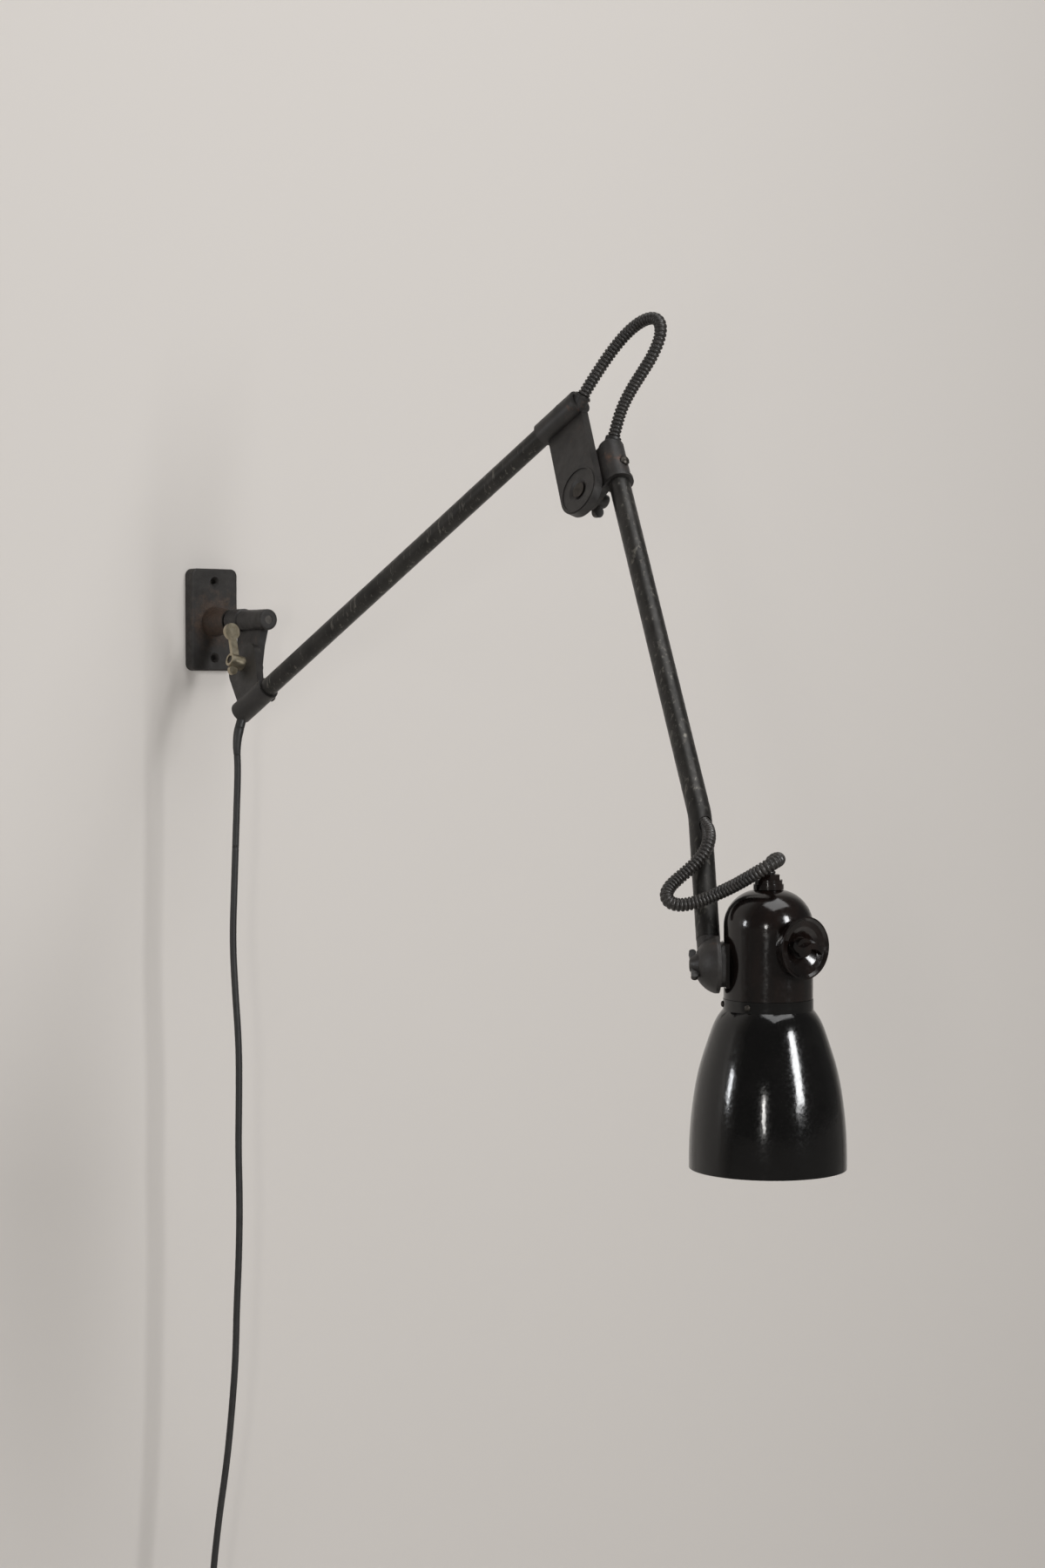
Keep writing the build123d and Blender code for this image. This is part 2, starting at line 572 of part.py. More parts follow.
with BuildPart() as elbow_lower_screws:
    for screw_line in lower_screw_lines[1:]:
        round_screw(screw_line, SLEEVE_RADIUS, SCREW_DEPTH, SCREW_HEAD_RADIUS,
                    SCREW_HEAD_HEIGHT, SCREW_SHANK_RADIUS)
save(elbow_lower_screws, "elbow_lower_screws")

# ---------------------------------------------------------------- elbow hinge

with BuildPart() as elbow_bolt:
    bolt_line = along_normal(elbow)
    bar(bolt_line, WEB_FACE - DIMPLE_DEPTH, WEB_FACE - SEAT_GAP, BOLT_HEAD_RADIUS - SEAT_GAP)
    bar(bolt_line, -WEB_FACE - ELBOW_NUT_LENGTH + 1, WEB_FACE - DIMPLE_DEPTH, BOLT_RADIUS)
save(elbow_bolt, "elbow_bolt")

with BuildPart() as elbow_friction_disc:
    bar(along_normal(elbow), -HALF_STACK, HALF_STACK, UPPER_WEB_BOTTOM)
    bar(along_normal(elbow), -HALF_STACK, HALF_STACK, BOLT_BORE, mode=Mode.SUBTRACT)
save(elbow_friction_disc, "elbow_friction_disc")

with BuildPart() as elbow_wing_nut:
    nut_line = along_normal(moved(elbow, z=-WEB_FACE), turn=ELBOW_NUT_TURN - LOWER_ANGLE, down=True)
    wing_nut(nut_line, 7.2, 6.0, ELBOW_NUT_LENGTH, 5.0, [(11.0, 8.5, 4.6, 3.4), (-11.0, 8.5, 4.6, 3.4)])
save(elbow_wing_nut, "elbow_wing_nut")

# ---------------------------------------------------------------- upper arm

with BuildPart() as elbow_upper_casting:
    bar(upper_arm, -UPPER_SLEEVE_TOP, UPPER_SLEEVE_BOTTOM, SLEEVE_RADIUS)
    fillet(elbow_upper_casting.edges().group_by(Axis(upper_arm.origin, upper_arm.x_dir))[0], 2.5)
    bar(upper_arm, UPPER_SLEEVE_BOTTOM - UPPER_LIP_LENGTH, UPPER_SLEEVE_BOTTOM, UPPER_LIP_RADIUS)
    with BuildSketch(moved(upper_hinge, z=-WEB_FACE)) as outline:
        with Locations((0, 0)):
            Circle(UPPER_WEB_BOTTOM)
        with Locations((UPPER_WEB_CORNER - UPPER_WEB_TOP, UPPER_OFFSET - SLEEVE_RADIUS)):
            Circle(UPPER_WEB_CORNER)
        with BuildLine():
            Polyline((UPPER_SLEEVE_BOTTOM, UPPER_OFFSET), (-UPPER_WEB_TOP, UPPER_OFFSET), (0, 0), close=True)
        make_face()
        make_hull()
    extrude(outline.sketch, amount=WEB)
    bar(upper_ferrule_line, 0, UPPER_FERRULE_LENGTH, FERRULE_RADIUS)
    bar(along_normal(elbow), -WEB_FACE, 0, BOLT_BORE, mode=Mode.SUBTRACT)
    bar(upper_arm, UPPER_TUBE_START, UPPER_SLEEVE_BOTTOM + SLEEVE_RADIUS,
        UPPER_TUBE_RADIUS + RUNNING_FIT, mode=Mode.SUBTRACT)
    bar(upper_ferrule_line, UPPER_FERRULE_LENGTH - HOSE_SOCKET, UPPER_FERRULE_LENGTH,
        ELBOW_CONDUIT_RADIUS + SEAT_GAP, mode=Mode.SUBTRACT)
    bar(upper_ferrule_line, 0, UPPER_FERRULE_LENGTH, CONDUIT_BORE_RADIUS, mode=Mode.SUBTRACT)
    bar(upper_screw_line, 0, SLEEVE_RADIUS, SCREW_BORE, mode=Mode.SUBTRACT)
save(elbow_upper_casting, "elbow_upper_casting")

with BuildPart() as elbow_upper_screw:
    round_screw(upper_screw_line, SLEEVE_RADIUS, SCREW_DEPTH, SCREW_HEAD_RADIUS,
                SCREW_HEAD_HEIGHT, SCREW_SHANK_RADIUS)
save(elbow_upper_screw, "elbow_upper_screw")

with BuildPart() as upper_tube:
    with BuildLine() as tube_route:
        FilletPolyline(moved(upper_arm, UPPER_TUBE_START).origin, moved(upper_arm, UPPER_STRAIGHT).origin,
                       tube_foot.origin, radius=UPPER_BEND_RADIUS)
    with BuildSketch(across(upper_arm, UPPER_TUBE_START)):
        Circle(UPPER_TUBE_RADIUS)
        Circle(UPPER_TUBE_RADIUS - TUBE_WALL, mode=Mode.SUBTRACT)
    sweep(path=tube_route.line)
    bar(slot_line, 0, 2.5 * UPPER_TUBE_RADIUS, SLOT_RADIUS, mode=Mode.SUBTRACT)
    bar(upper_screw_line, 0, SLEEVE_RADIUS, SCREW_BORE, mode=Mode.SUBTRACT)
save(upper_tube, "upper_tube")

# ---------------------------------------------------------------- ribbed conduits

with BuildPart() as conduit_ferrule:
    bar(ferrule_line, -FERRULE_RADIUS, FERRULE_LENGTH, FERRULE_RADIUS)
    bar(ferrule_line, FERRULE_LENGTH - 2.4, FERRULE_LENGTH - 1.0, FERRULE_RADIUS + 0.8)
    split(bisect_by=across(lower_arm, LOWER_SPAN + ELBOW_SLEEVE_FRONT), keep=Keep.TOP)
    bar(ferrule_line, -FERRULE_RADIUS, FERRULE_LENGTH, ELBOW_CONDUIT_RADIUS + SEAT_GAP, mode=Mode.SUBTRACT)
save(conduit_ferrule, "conduit_ferrule")

with BuildLine() as hose_route:
    lead_in = moved(ferrule_line, 1.0).origin
    free_start = moved(ferrule_line, 1.0 + 2 * ELBOW_CONDUIT_RADIUS).origin
    free_end = moved(upper_ferrule_line, UPPER_FERRULE_LENGTH + ELBOW_CONDUIT_RADIUS).origin
    lead_out = moved(upper_ferrule_line, UPPER_FERRULE_LENGTH - HOSE_SOCKET).origin
    Line(lead_in, free_start)
    Spline(free_start, *[moved(arms, *spot).origin for spot in ELBOW_LOOP], free_end,
           tangents=(ferrule_line.x_dir, -upper_ferrule_line.x_dir), tangent_scalars=(1, 1))
    Line(free_end, lead_out)
hose = ribbed_hose(hose_route.wire(), ELBOW_CONDUIT_RIBS, ELBOW_CONDUIT_RADIUS, arms.z_dir)
with BuildPart() as elbow_conduit:
    add(hose)
print("elbow conduit length", round(hose_route.wire().length, 1))
save(elbow_conduit, "elbow_conduit")

with BuildLine() as hose_route:
    free_start = moved(slot_line, SLOT_RUN).origin
    free_end = moved(head_axis, -GLAND_TOP - CONDUIT_RISE).origin
    lead_out = moved(head_axis, -GLAND_TOP + HOSE_SOCKET).origin
    Line(slot_line.origin, free_start)
    Spline(free_start, *[head_spot(*spot) for spot in HEAD_LOOP], free_end,
           tangents=(slot_line.x_dir, -UP), tangent_scalars=(1, 1))
    Line(free_end, lead_out)
hose = ribbed_hose(hose_route.wire(), HEAD_CONDUIT_RIBS, HEAD_CONDUIT_RADIUS, bolt_way)
with BuildPart() as head_conduit:
    add(hose)
print("head conduit length", round(hose_route.wire().length, 1))
save(head_conduit, "head_conduit")

# ---------------------------------------------------------------- head hinge

knob_line = Plane(origin=hinge_point, x_dir=-bolt_way, z_dir=UP)
with BuildPart() as head_casting:
    with BuildSketch(knob_line) as half:
        with BuildLine():
            Polyline((KNOB_LENGTH, KNOB_TIP_RADIUS), (KNOB_LENGTH, 0), (HALF_STACK, 0),
                     (HALF_STACK, KNOB_RADIUS), (KNOB_FLANGE, KNOB_RADIUS))
            RadiusArc((KNOB_FLANGE, KNOB_RADIUS), (KNOB_LENGTH, KNOB_TIP_RADIUS), KNOB_ROUNDING)
        make_face()
    revolve(half.sketch, axis=Axis(knob_line.origin, knob_line.x_dir))
    bar(tube_foot, 0, HEAD_HINGE_DROP, NECK_RADIUS)
    bar(head_bolt, -HALF_STACK, NECK_RADIUS, HEAD_HINGE_DROP - NECK_LENGTH, mode=Mode.SUBTRACT)
    bar(tube_foot, -SPIGOT_LENGTH, 0, UPPER_TUBE_RADIUS - TUBE_WALL - RUNNING_FIT)
    bar(knob_line, 0, KNOB_LENGTH, BOLT_BORE, mode=Mode.SUBTRACT)
save(head_casting, "head_casting")

with BuildPart() as head_wing_nut:
    nut_line = Plane(origin=moved(knob_line, KNOB_LENGTH).origin, x_dir=-bolt_way,
                     z_dir=radial(knob_line, 0, 45).x_dir)
    wing_nut(nut_line, 8.8, 5.0, HEAD_NUT_LENGTH, 4.0, [(10.5, 2.9, 2.7, 2.4), (-10.5, 2.9, 2.7, 2.4)])
save(head_wing_nut, "head_wing_nut")

with BuildPart() as head_friction_washer:
    washer_half = HALF_STACK - RUNNING_FIT
    bar(head_bolt, -washer_half, washer_half, BRACKET_WIDTH / 2 - SEAT_GAP)
    bar(head_bolt, -washer_half, washer_half, BOLT_BORE, mode=Mode.SUBTRACT)
save(head_friction_washer, "head_friction_washer")

with BuildPart() as head_bracket:
    with BuildSketch(across(head_bolt, HALF_STACK)):
        RectangleRounded(BRACKET_HEIGHT, BRACKET_WIDTH, BRACKET_CORNER)
    extrude(amount=BRACKET_THICKNESS)
    bar(head_bolt, 0, BRACKET_END, BOLT_BORE, mode=Mode.SUBTRACT)
save(head_bracket, "head_bracket")

with BuildPart() as head_hinge_bolt:
    head_seat = HOUSING_OFFSET - sqrt((HOUSING_RADIUS - HOUSING_WALL) ** 2 - BOLT_HEAD_RADIUS ** 2)
    bar(head_bolt, head_seat, head_seat + BOLT_HEAD_HEIGHT, BOLT_HEAD_RADIUS)
    bar(head_bolt, -KNOB_LENGTH - HEAD_NUT_LENGTH + 0.5, head_seat, BOLT_RADIUS)
save(head_hinge_bolt, "head_hinge_bolt")

# ---------------------------------------------------------------- housing and gland

with BuildPart() as housing:
    with BuildSketch(head_axis) as half:
        with BuildLine():
            shoulder = -HOUSING_TOP + HOUSING_SHOULDER
            Polyline((shoulder, HOUSING_RADIUS), (HOUSING_BOTTOM, HOUSING_RADIUS), (HOUSING_BOTTOM, 0),
                     (-HOUSING_TOP, 0), (-HOUSING_TOP, HOUSING_RADIUS - HOUSING_SHOULDER))
            RadiusArc((-HOUSING_TOP, HOUSING_RADIUS - HOUSING_SHOULDER), (shoulder, HOUSING_RADIUS),
                      HOUSING_SHOULDER)
        make_face()
    revolve(half.sketch, axis=Axis(head_axis.origin, head_axis.x_dir))
    turned(switch_axis, [(0, 0), (0, SWITCH_BOSS_RADIUS), (SWITCH_REACH - 12, SWITCH_BOSS_RADIUS),
                         (SWITCH_SEAT, DISH_RADIUS - 0.8), (SWITCH_SEAT, 0)])
    with BuildSketch(across(head_bolt, BRACKET_END)) as pad:
        Rectangle(BRACKET_HEIGHT, BRACKET_WIDTH)
    extrude(pad.sketch, amount=HOUSING_OFFSET / 2)
    with BuildSketch(head_axis) as hollow:
        with BuildLine():
            inner_radius = HOUSING_RADIUS - HOUSING_WALL
            inner_top = -HOUSING_TOP + HOUSING_WALL
            inner_shoulder = HOUSING_SHOULDER - HOUSING_WALL
            Polyline((shoulder, inner_radius), (HOUSING_BOTTOM, inner_radius), (HOUSING_BOTTOM, 0),
                     (inner_top, 0), (inner_top, inner_radius - inner_shoulder))
            RadiusArc((inner_top, inner_radius - inner_shoulder), (shoulder, inner_radius), inner_shoulder)
        make_face()
    revolve(hollow.sketch, axis=Axis(head_axis.origin, head_axis.x_dir), mode=Mode.SUBTRACT)
    bar(switch_axis, 0, SWITCH_SEAT, SWITCH_BLOCK_RADIUS + SEAT_GAP, mode=Mode.SUBTRACT)
    bar(switch_axis, SWITCH_SEAT - DISH_BODY, SWITCH_SEAT, DISH_BODY_RADIUS + RUNNING_FIT, mode=Mode.SUBTRACT)
    bar(head_bolt, 0, HOUSING_OFFSET / 2, BOLT_BORE, mode=Mode.SUBTRACT)
    bar(head_axis, -HOUSING_TOP, 0, GLAND_BORE, mode=Mode.SUBTRACT)
save(housing, "housing")

with BuildPart() as head_gland:
    base_top = HOUSING_TOP + GLAND_BASE_HEIGHT
    ring_top = base_top + GLAND_RING_HEIGHT
    bar(head_axis, -base_top, -HOUSING_TOP, GLAND_BASE_RADIUS)
    bar(head_axis, -ring_top, -base_top, GLAND_RING_RADIUS)
    with BuildSketch(across(head_axis, -GLAND_TOP)) as nut_face:
        RegularPolygon(GLAND_NUT_RADIUS, 6)
    extrude(nut_face.sketch, amount=GLAND_NUT_HEIGHT)
    bar(head_axis, -GLAND_TOP, -GLAND_TOP + HOSE_SOCKET, HEAD_CONDUIT_RADIUS + SEAT_GAP, mode=Mode.SUBTRACT)
    bar(head_axis, -GLAND_TOP, -HOUSING_TOP, GLAND_BORE, mode=Mode.SUBTRACT)
save(head_gland, "head_gland")

# ---------------------------------------------------------------- switch

with BuildPart() as switch_dish:
    back = SWITCH_SEAT - DISH_BODY
    turned(switch_axis, [(back, SPINDLE_RADIUS + SEAT_GAP), (back, DISH_BODY_RADIUS),
                         (SWITCH_SEAT, DISH_BODY_RADIUS), (SWITCH_SEAT, DISH_RADIUS - 0.8),
                         (SWITCH_REACH, DISH_RADIUS), (SWITCH_REACH, DISH_RADIUS - DISH_WALL),
                         (SWITCH_REACH - 1.6, DISH_RADIUS - 3.0), (SWITCH_SEAT + 0.4, DISH_RADIUS - 7.4),
                         (back + DISH_WALL, KEY_BASE_RADIUS + 1),
                         (back + DISH_WALL, SPINDLE_RADIUS + SEAT_GAP)])
save(switch_dish, "switch_dish")

with BuildPart() as switch_key:
    key_plane = across(switch_axis, back + DISH_WALL + FACE_PLAY)
    with BuildSketch(key_plane) as base:
        Circle(KEY_BASE_RADIUS)
    extrude(base.sketch, amount=KEY_BASE_HEIGHT + 1)
    with BuildSketch(moved(key_plane, z=KEY_BASE_HEIGHT, turn=KEY_TURN)) as blade:
        for half_key in (1, -1):
            with BuildLine():
                half_length = half_key * KEY_LENGTH / 2
                bow = half_key * KEY_BOW
                half_width = KEY_THICKNESS / 2
                upper_edge = ThreePointArc((0, half_width), (half_length / 2, half_width + bow),
                                           (half_length, half_width * 0.8))
                lower_edge = ThreePointArc((0, -half_width), (half_length / 2, bow - half_width),
                                           (half_length, -half_width * 0.8))
                Line(upper_edge @ 0, lower_edge @ 0)
                Line(upper_edge @ 1, lower_edge @ 1)
            make_face()
    extrude(blade.sketch, amount=KEY_HEIGHT - KEY_BASE_HEIGHT)
    bar(switch_axis, back, back + DISH_WALL + 3, SPINDLE_RADIUS + RUNNING_FIT, mode=Mode.SUBTRACT)
save(switch_key, "switch_key")

with BuildPart() as switch_spindle:
    bar(switch_axis, SWITCH_BLOCK_BACK + 4, back + DISH_WALL + 3, SPINDLE_RADIUS)
save(switch_spindle, "switch_spindle")

with BuildPart() as switch_block:
    bar(switch_axis, SWITCH_BLOCK_BACK, back, SWITCH_BLOCK_RADIUS)
    bar(switch_axis, SWITCH_BLOCK_BACK + 4, back, SPINDLE_RADIUS + RUNNING_FIT, mode=Mode.SUBTRACT)
save(switch_block, "switch_block")

# ---------------------------------------------------------------- lamp holder and bulb

with BuildPart() as lamp_holder:
    bar(head_axis, BRIDGE_TOP, BRIDGE_TOP + BRIDGE_THICKNESS, RING_SPIGOT_RADIUS)
    bar(head_axis, BRIDGE_TOP + BRIDGE_THICKNESS, HOLDER_END, HOLDER_RADIUS)
    bar(head_axis, HOLDER_FLOOR, HOLDER_END, THREAD_RADIUS + 0.6, mode=Mode.SUBTRACT)
save(lamp_holder, "lamp_holder")

with BuildPart() as holder_shell:
    bar(head_axis, HOLDER_FLOOR + 3, HOLDER_END - 2, THREAD_RADIUS + 0.55)
    bar(head_axis, HOLDER_FLOOR + 3, HOLDER_END - 2, THREAD_RADIUS, mode=Mode.SUBTRACT)
save(holder_shell, "holder_shell")

with BuildPart() as centre_contact:
    bar(head_axis, HOLDER_FLOOR, CAP_TOP, 3.5)
save(centre_contact, "centre_contact")

with BuildPart() as bulb_cap:
    turned(head_axis, [(CAP_TOP, 0), (CAP_TOP, 5), (CAP_TOP + 3, THREAD_RADIUS - RUNNING_FIT),
                       (CAP_END, THREAD_RADIUS - RUNNING_FIT), (CAP_END, BULB_NECK_RADIUS + RUNNING_FIT),
                       (CAP_TOP + 6, BULB_NECK_RADIUS + RUNNING_FIT), (CAP_TOP + 6, 0)])
save(bulb_cap, "bulb_cap")

with BuildPart() as bulb_glass:
    neck_end = CAP_TOP + 6.2
    shoulder_way = (-cos(radians(BULB_SHOULDER_ANGLE)), sin(radians(BULB_SHOULDER_ANGLE)))
    inner_radius = BULB_RADIUS - GLASS_WALL
    shoulder = (BULB_CENTRE + BULB_RADIUS * shoulder_way[0], BULB_RADIUS * shoulder_way[1])
    inner_shoulder = (BULB_CENTRE + inner_radius * shoulder_way[0], inner_radius * shoulder_way[1])
    with BuildSketch(head_axis) as half:
        with BuildLine():
            Polyline((neck_end, BULB_NECK_RADIUS), (CAP_END + 2, BULB_NECK_RADIUS), shoulder)
            ThreePointArc(shoulder, (BULB_CENTRE, BULB_RADIUS), (BULB_CENTRE + BULB_RADIUS, 0))
            Line((BULB_CENTRE + BULB_RADIUS, 0), (BULB_CENTRE + inner_radius, 0))
            ThreePointArc((BULB_CENTRE + inner_radius, 0), (BULB_CENTRE, inner_radius), inner_shoulder)
            Polyline(inner_shoulder, (CAP_END + 2, BULB_NECK_RADIUS - GLASS_WALL),
                     (neck_end, BULB_NECK_RADIUS - GLASS_WALL), (neck_end, BULB_NECK_RADIUS))
        make_face()
    revolve(half.sketch, axis=Axis(head_axis.origin, head_axis.x_dir))
save(bulb_glass, "bulb_glass")

# ---------------------------------------------------------------- shade

with BuildPart() as shade_ring:
    ring_top = BRIDGE_TOP + BRIDGE_THICKNESS
    ring_seat = HOUSING_BOTTOM + FACE_PLAY
    turned(head_axis, [(ring_top, RING_BORE), (ring_top, RING_SPIGOT_RADIUS),
                       (ring_seat, RING_SPIGOT_RADIUS), (ring_seat, RING_RADIUS),
                       (COLLAR_END, RING_RADIUS), (COLLAR_END, RING_BORE)])
    for angle in COLLAR_SCREW_ANGLES:
        bar(radial(head_axis, COLLAR_SCREW_LEVEL, angle), RING_BORE, COLLAR_RADIUS, 1.25, mode=Mode.SUBTRACT)
save(shade_ring, "shade_ring")

with BuildPart() as shade:
    with BuildSketch(head_axis) as half:
        with BuildLine():
            outer_bell = Spline((COLLAR_END, COLLAR_RADIUS), *SHADE_CURVE,
                                (SHADE_RIM_DEPTH, SHADE_RIM_RADIUS))
            inner_bell = Spline((COLLAR_END, COLLAR_RADIUS - SHADE_WALL),
                                *[(depth + 0.3, radius - SHADE_WALL) for depth, radius in SHADE_CURVE],
                                (SHADE_RIM_DEPTH, SHADE_RIM_RADIUS - SHADE_WALL))
            Line(outer_bell @ 1, inner_bell @ 1)
            Polyline(outer_bell @ 0, (HOUSING_BOTTOM + FACE_PLAY, COLLAR_RADIUS),
                     (HOUSING_BOTTOM + FACE_PLAY, COLLAR_RADIUS - SHADE_WALL), inner_bell @ 0)
        make_face()
    revolve(half.sketch, axis=Axis(head_axis.origin, head_axis.x_dir))
    with BuildSketch(head_axis) as bead:
        with Locations((SHADE_RIM_DEPTH - SHADE_BEAD_RADIUS, SHADE_RIM_RADIUS - SHADE_BEAD_RADIUS / 2)):
            Circle(SHADE_BEAD_RADIUS)
    revolve(bead.sketch, axis=Axis(head_axis.origin, head_axis.x_dir))
    for angle in COLLAR_SCREW_ANGLES:
        bar(radial(head_axis, COLLAR_SCREW_LEVEL, angle), RING_RADIUS - 1, COLLAR_RADIUS + 1, 1.25,
            mode=Mode.SUBTRACT)
save(shade, "shade")

with BuildPart() as shade_screws:
    for angle in COLLAR_SCREW_ANGLES:
        round_screw(radial(head_axis, COLLAR_SCREW_LEVEL, angle), COLLAR_RADIUS, 4.0, 2.3, 1.6, 1.2)
save(shade_screws, "shade_screws")

# ---------------------------------------------------------------- mains lead

lead_start = moved(bush_line, BUSH_END).origin
lead_points = [lead_start, moved(bush_line, BUSH_END + 13).origin, *LEAD_SPOTS]
cord_tube("cord_lead", lead_points)
cord_tube("mains_cord", [LEAD_SPOTS[-1], *CORD_SPOTS, coil_entry])

coil_start = coil_entry - UP * CORD_DIAMETER
coil_centre = coil_start + Vector(COIL_OUTER, 0, 0)
with BuildPart() as cord_coil:
    with BuildLine() as coil_route:
        Line(coil_entry, coil_start)
        reach = COIL_OUTER
        side = -1
        layer = 0
        spot = coil_start
        for half_turn in range(COIL_HALVES):
            if half_turn <= COIL_INWARD_HALVES:
                reach -= COIL_STEP / 2
            elif half_turn == COIL_INWARD_HALVES + 1:
                reach += COIL_STEP
            else:
                reach += COIL_STEP / 2
            if half_turn == COIL_INWARD_HALVES:
                layer = 1
            side = -side
            next_spot = coil_centre + Vector(side * reach, -layer * COIL_STEP, 0)
            middle = (spot + next_spot) / 2
            half_width = (next_spot - spot).length / 2
            ThreePointArc(spot, middle - UP * half_width * side, next_spot)
            spot = next_spot
        coil_exit = spot - UP * CORD_DIAMETER
        Line(spot, coil_exit)
    with BuildSketch(Plane(origin=coil_entry, z_dir=-UP)):
        Circle(CORD_DIAMETER / 2)
    coil_path = coil_route.wire()
    sweep(path=coil_path)
samples = [coil_path @ (step / 900) for step in range(901)]
sample_step = coil_path.length / 900
skip = int(4 * CORD_DIAMETER / sample_step)
least = min(
    (first - second).length
    for index, first in enumerate(samples)
    for second in samples[index + skip:]
)
expected_coil = pi * (CORD_DIAMETER / 2) ** 2 * coil_path.length
print("coil length", round(coil_path.length, 1), "least gap", round(least - CORD_DIAMETER, 2),
      "volume ratio", round(cord_coil.part.volume / expected_coil, 4))
save(cord_coil, "cord_coil")

tail_end = coil_exit - UP * TAIL_LENGTH
with BuildPart() as cord_tail:
    with BuildSketch(Plane(origin=coil_exit, z_dir=-UP)) as tail_section:
        Circle(CORD_DIAMETER / 2)
    extrude(tail_section.sketch, amount=TAIL_LENGTH)
save(cord_tail, "cord_tail")

with BuildPart() as cord_tie:
    inmost = COIL_OUTER - (COIL_INWARD_HALVES + 1) * COIL_STEP / 2
    tie_inner = inmost - CORD_DIAMETER / 2 - TIE_SLACK
    tie_outer = COIL_OUTER + CORD_DIAMETER / 2 + SEAT_GAP
    tie_centre = coil_centre + Vector((tie_inner + tie_outer) / 2, -COIL_STEP / 2, -TIE_HEIGHT / 2)
    tie_width = tie_outer - tie_inner
    tie_depth = COIL_STEP + CORD_DIAMETER + 2 * SEAT_GAP
    with BuildSketch(Plane(origin=tie_centre)):
        RectangleRounded(tie_width + 2 * TIE_WALL, tie_depth + 2 * TIE_WALL, CORD_DIAMETER / 2)
        RectangleRounded(tie_width, tie_depth, CORD_DIAMETER / 4, mode=Mode.SUBTRACT)
    extrude(amount=TIE_HEIGHT)
save(cord_tie, "cord_tie")

plug_line = Plane(origin=tail_end, x_dir=-UP, z_dir=(0, -1, 0))
with BuildPart() as mains_plug:
    turned(plug_line, [(0, 0), (0, CORD_DIAMETER / 2 + 1.5), (8, 5.5), (8, 0)])
    with BuildSketch(across(plug_line, 8)) as plug_top:
        RectangleRounded(PLUG_WIDTH * 0.6, PLUG_THICKNESS, 4)
    with BuildSketch(across(plug_line, 8 + PLUG_LENGTH)) as plug_face:
        RectangleRounded(PLUG_WIDTH, PLUG_THICKNESS, 4)
    loft([plug_top.sketch, plug_face.sketch])
    for side in (1, -1):
        bar(moved(plug_line, z=side * PLUG_PIN_SPACING / 2), PLUG_LENGTH, PLUG_LENGTH + 8,
            PLUG_PIN_RADIUS + RUNNING_FIT, mode=Mode.SUBTRACT)
save(mains_plug, "mains_plug")

with BuildPart() as plug_pins:
    for side in (1, -1):
        pin_line = moved(plug_line, z=side * PLUG_PIN_SPACING / 2)
        bar(pin_line, PLUG_LENGTH, PLUG_LENGTH + 8 + PLUG_PIN_LENGTH, PLUG_PIN_RADIUS)
save(plug_pins, "plug_pins")
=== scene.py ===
import math
import bpy
from mathutils import Matrix, Vector


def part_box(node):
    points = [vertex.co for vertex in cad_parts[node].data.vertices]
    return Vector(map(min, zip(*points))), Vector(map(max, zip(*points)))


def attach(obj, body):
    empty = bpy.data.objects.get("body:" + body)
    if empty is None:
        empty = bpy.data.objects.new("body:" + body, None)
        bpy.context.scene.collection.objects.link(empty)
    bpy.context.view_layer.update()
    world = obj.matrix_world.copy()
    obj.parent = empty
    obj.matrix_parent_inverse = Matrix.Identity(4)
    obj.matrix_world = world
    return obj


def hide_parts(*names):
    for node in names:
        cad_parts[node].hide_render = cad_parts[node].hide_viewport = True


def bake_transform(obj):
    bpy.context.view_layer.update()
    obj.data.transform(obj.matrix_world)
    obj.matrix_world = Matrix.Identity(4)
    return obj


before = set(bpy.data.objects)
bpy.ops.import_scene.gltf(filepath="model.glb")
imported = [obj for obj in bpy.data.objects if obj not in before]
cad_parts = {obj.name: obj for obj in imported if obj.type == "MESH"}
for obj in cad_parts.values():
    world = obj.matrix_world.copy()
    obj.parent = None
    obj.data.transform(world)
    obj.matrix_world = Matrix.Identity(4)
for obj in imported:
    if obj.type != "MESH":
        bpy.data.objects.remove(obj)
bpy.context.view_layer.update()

# ---------------------------------------------------------------- camera
# Right, up and forward of the photograph's view, and where it was taken from.
RIGHT = Vector((0.80593, -0.59201, 0.0))
FORWARD = Vector((0.59169, 0.80549, -0.03316))
UPWARD = Vector((0.01963, 0.02672, 0.99945))
EYE = Vector((-1.38165, -2.41518, -0.07330))

camera_data = bpy.data.cameras.new("camera")
camera_data.sensor_width = 36.0
camera_data.lens = 63.0
camera_data.clip_start = 0.05
camera = bpy.data.objects.new("camera", camera_data)
bpy.context.scene.collection.objects.link(camera)
camera.matrix_world = Matrix((
    (RIGHT.x, UPWARD.x, -FORWARD.x, EYE.x),
    (RIGHT.y, UPWARD.y, -FORWARD.y, EYE.y),
    (RIGHT.z, UPWARD.z, -FORWARD.z, EYE.z),
    (0, 0, 0, 1),
))
bpy.context.scene.camera = camera
bpy.context.scene.view_settings.view_transform = "Standard"


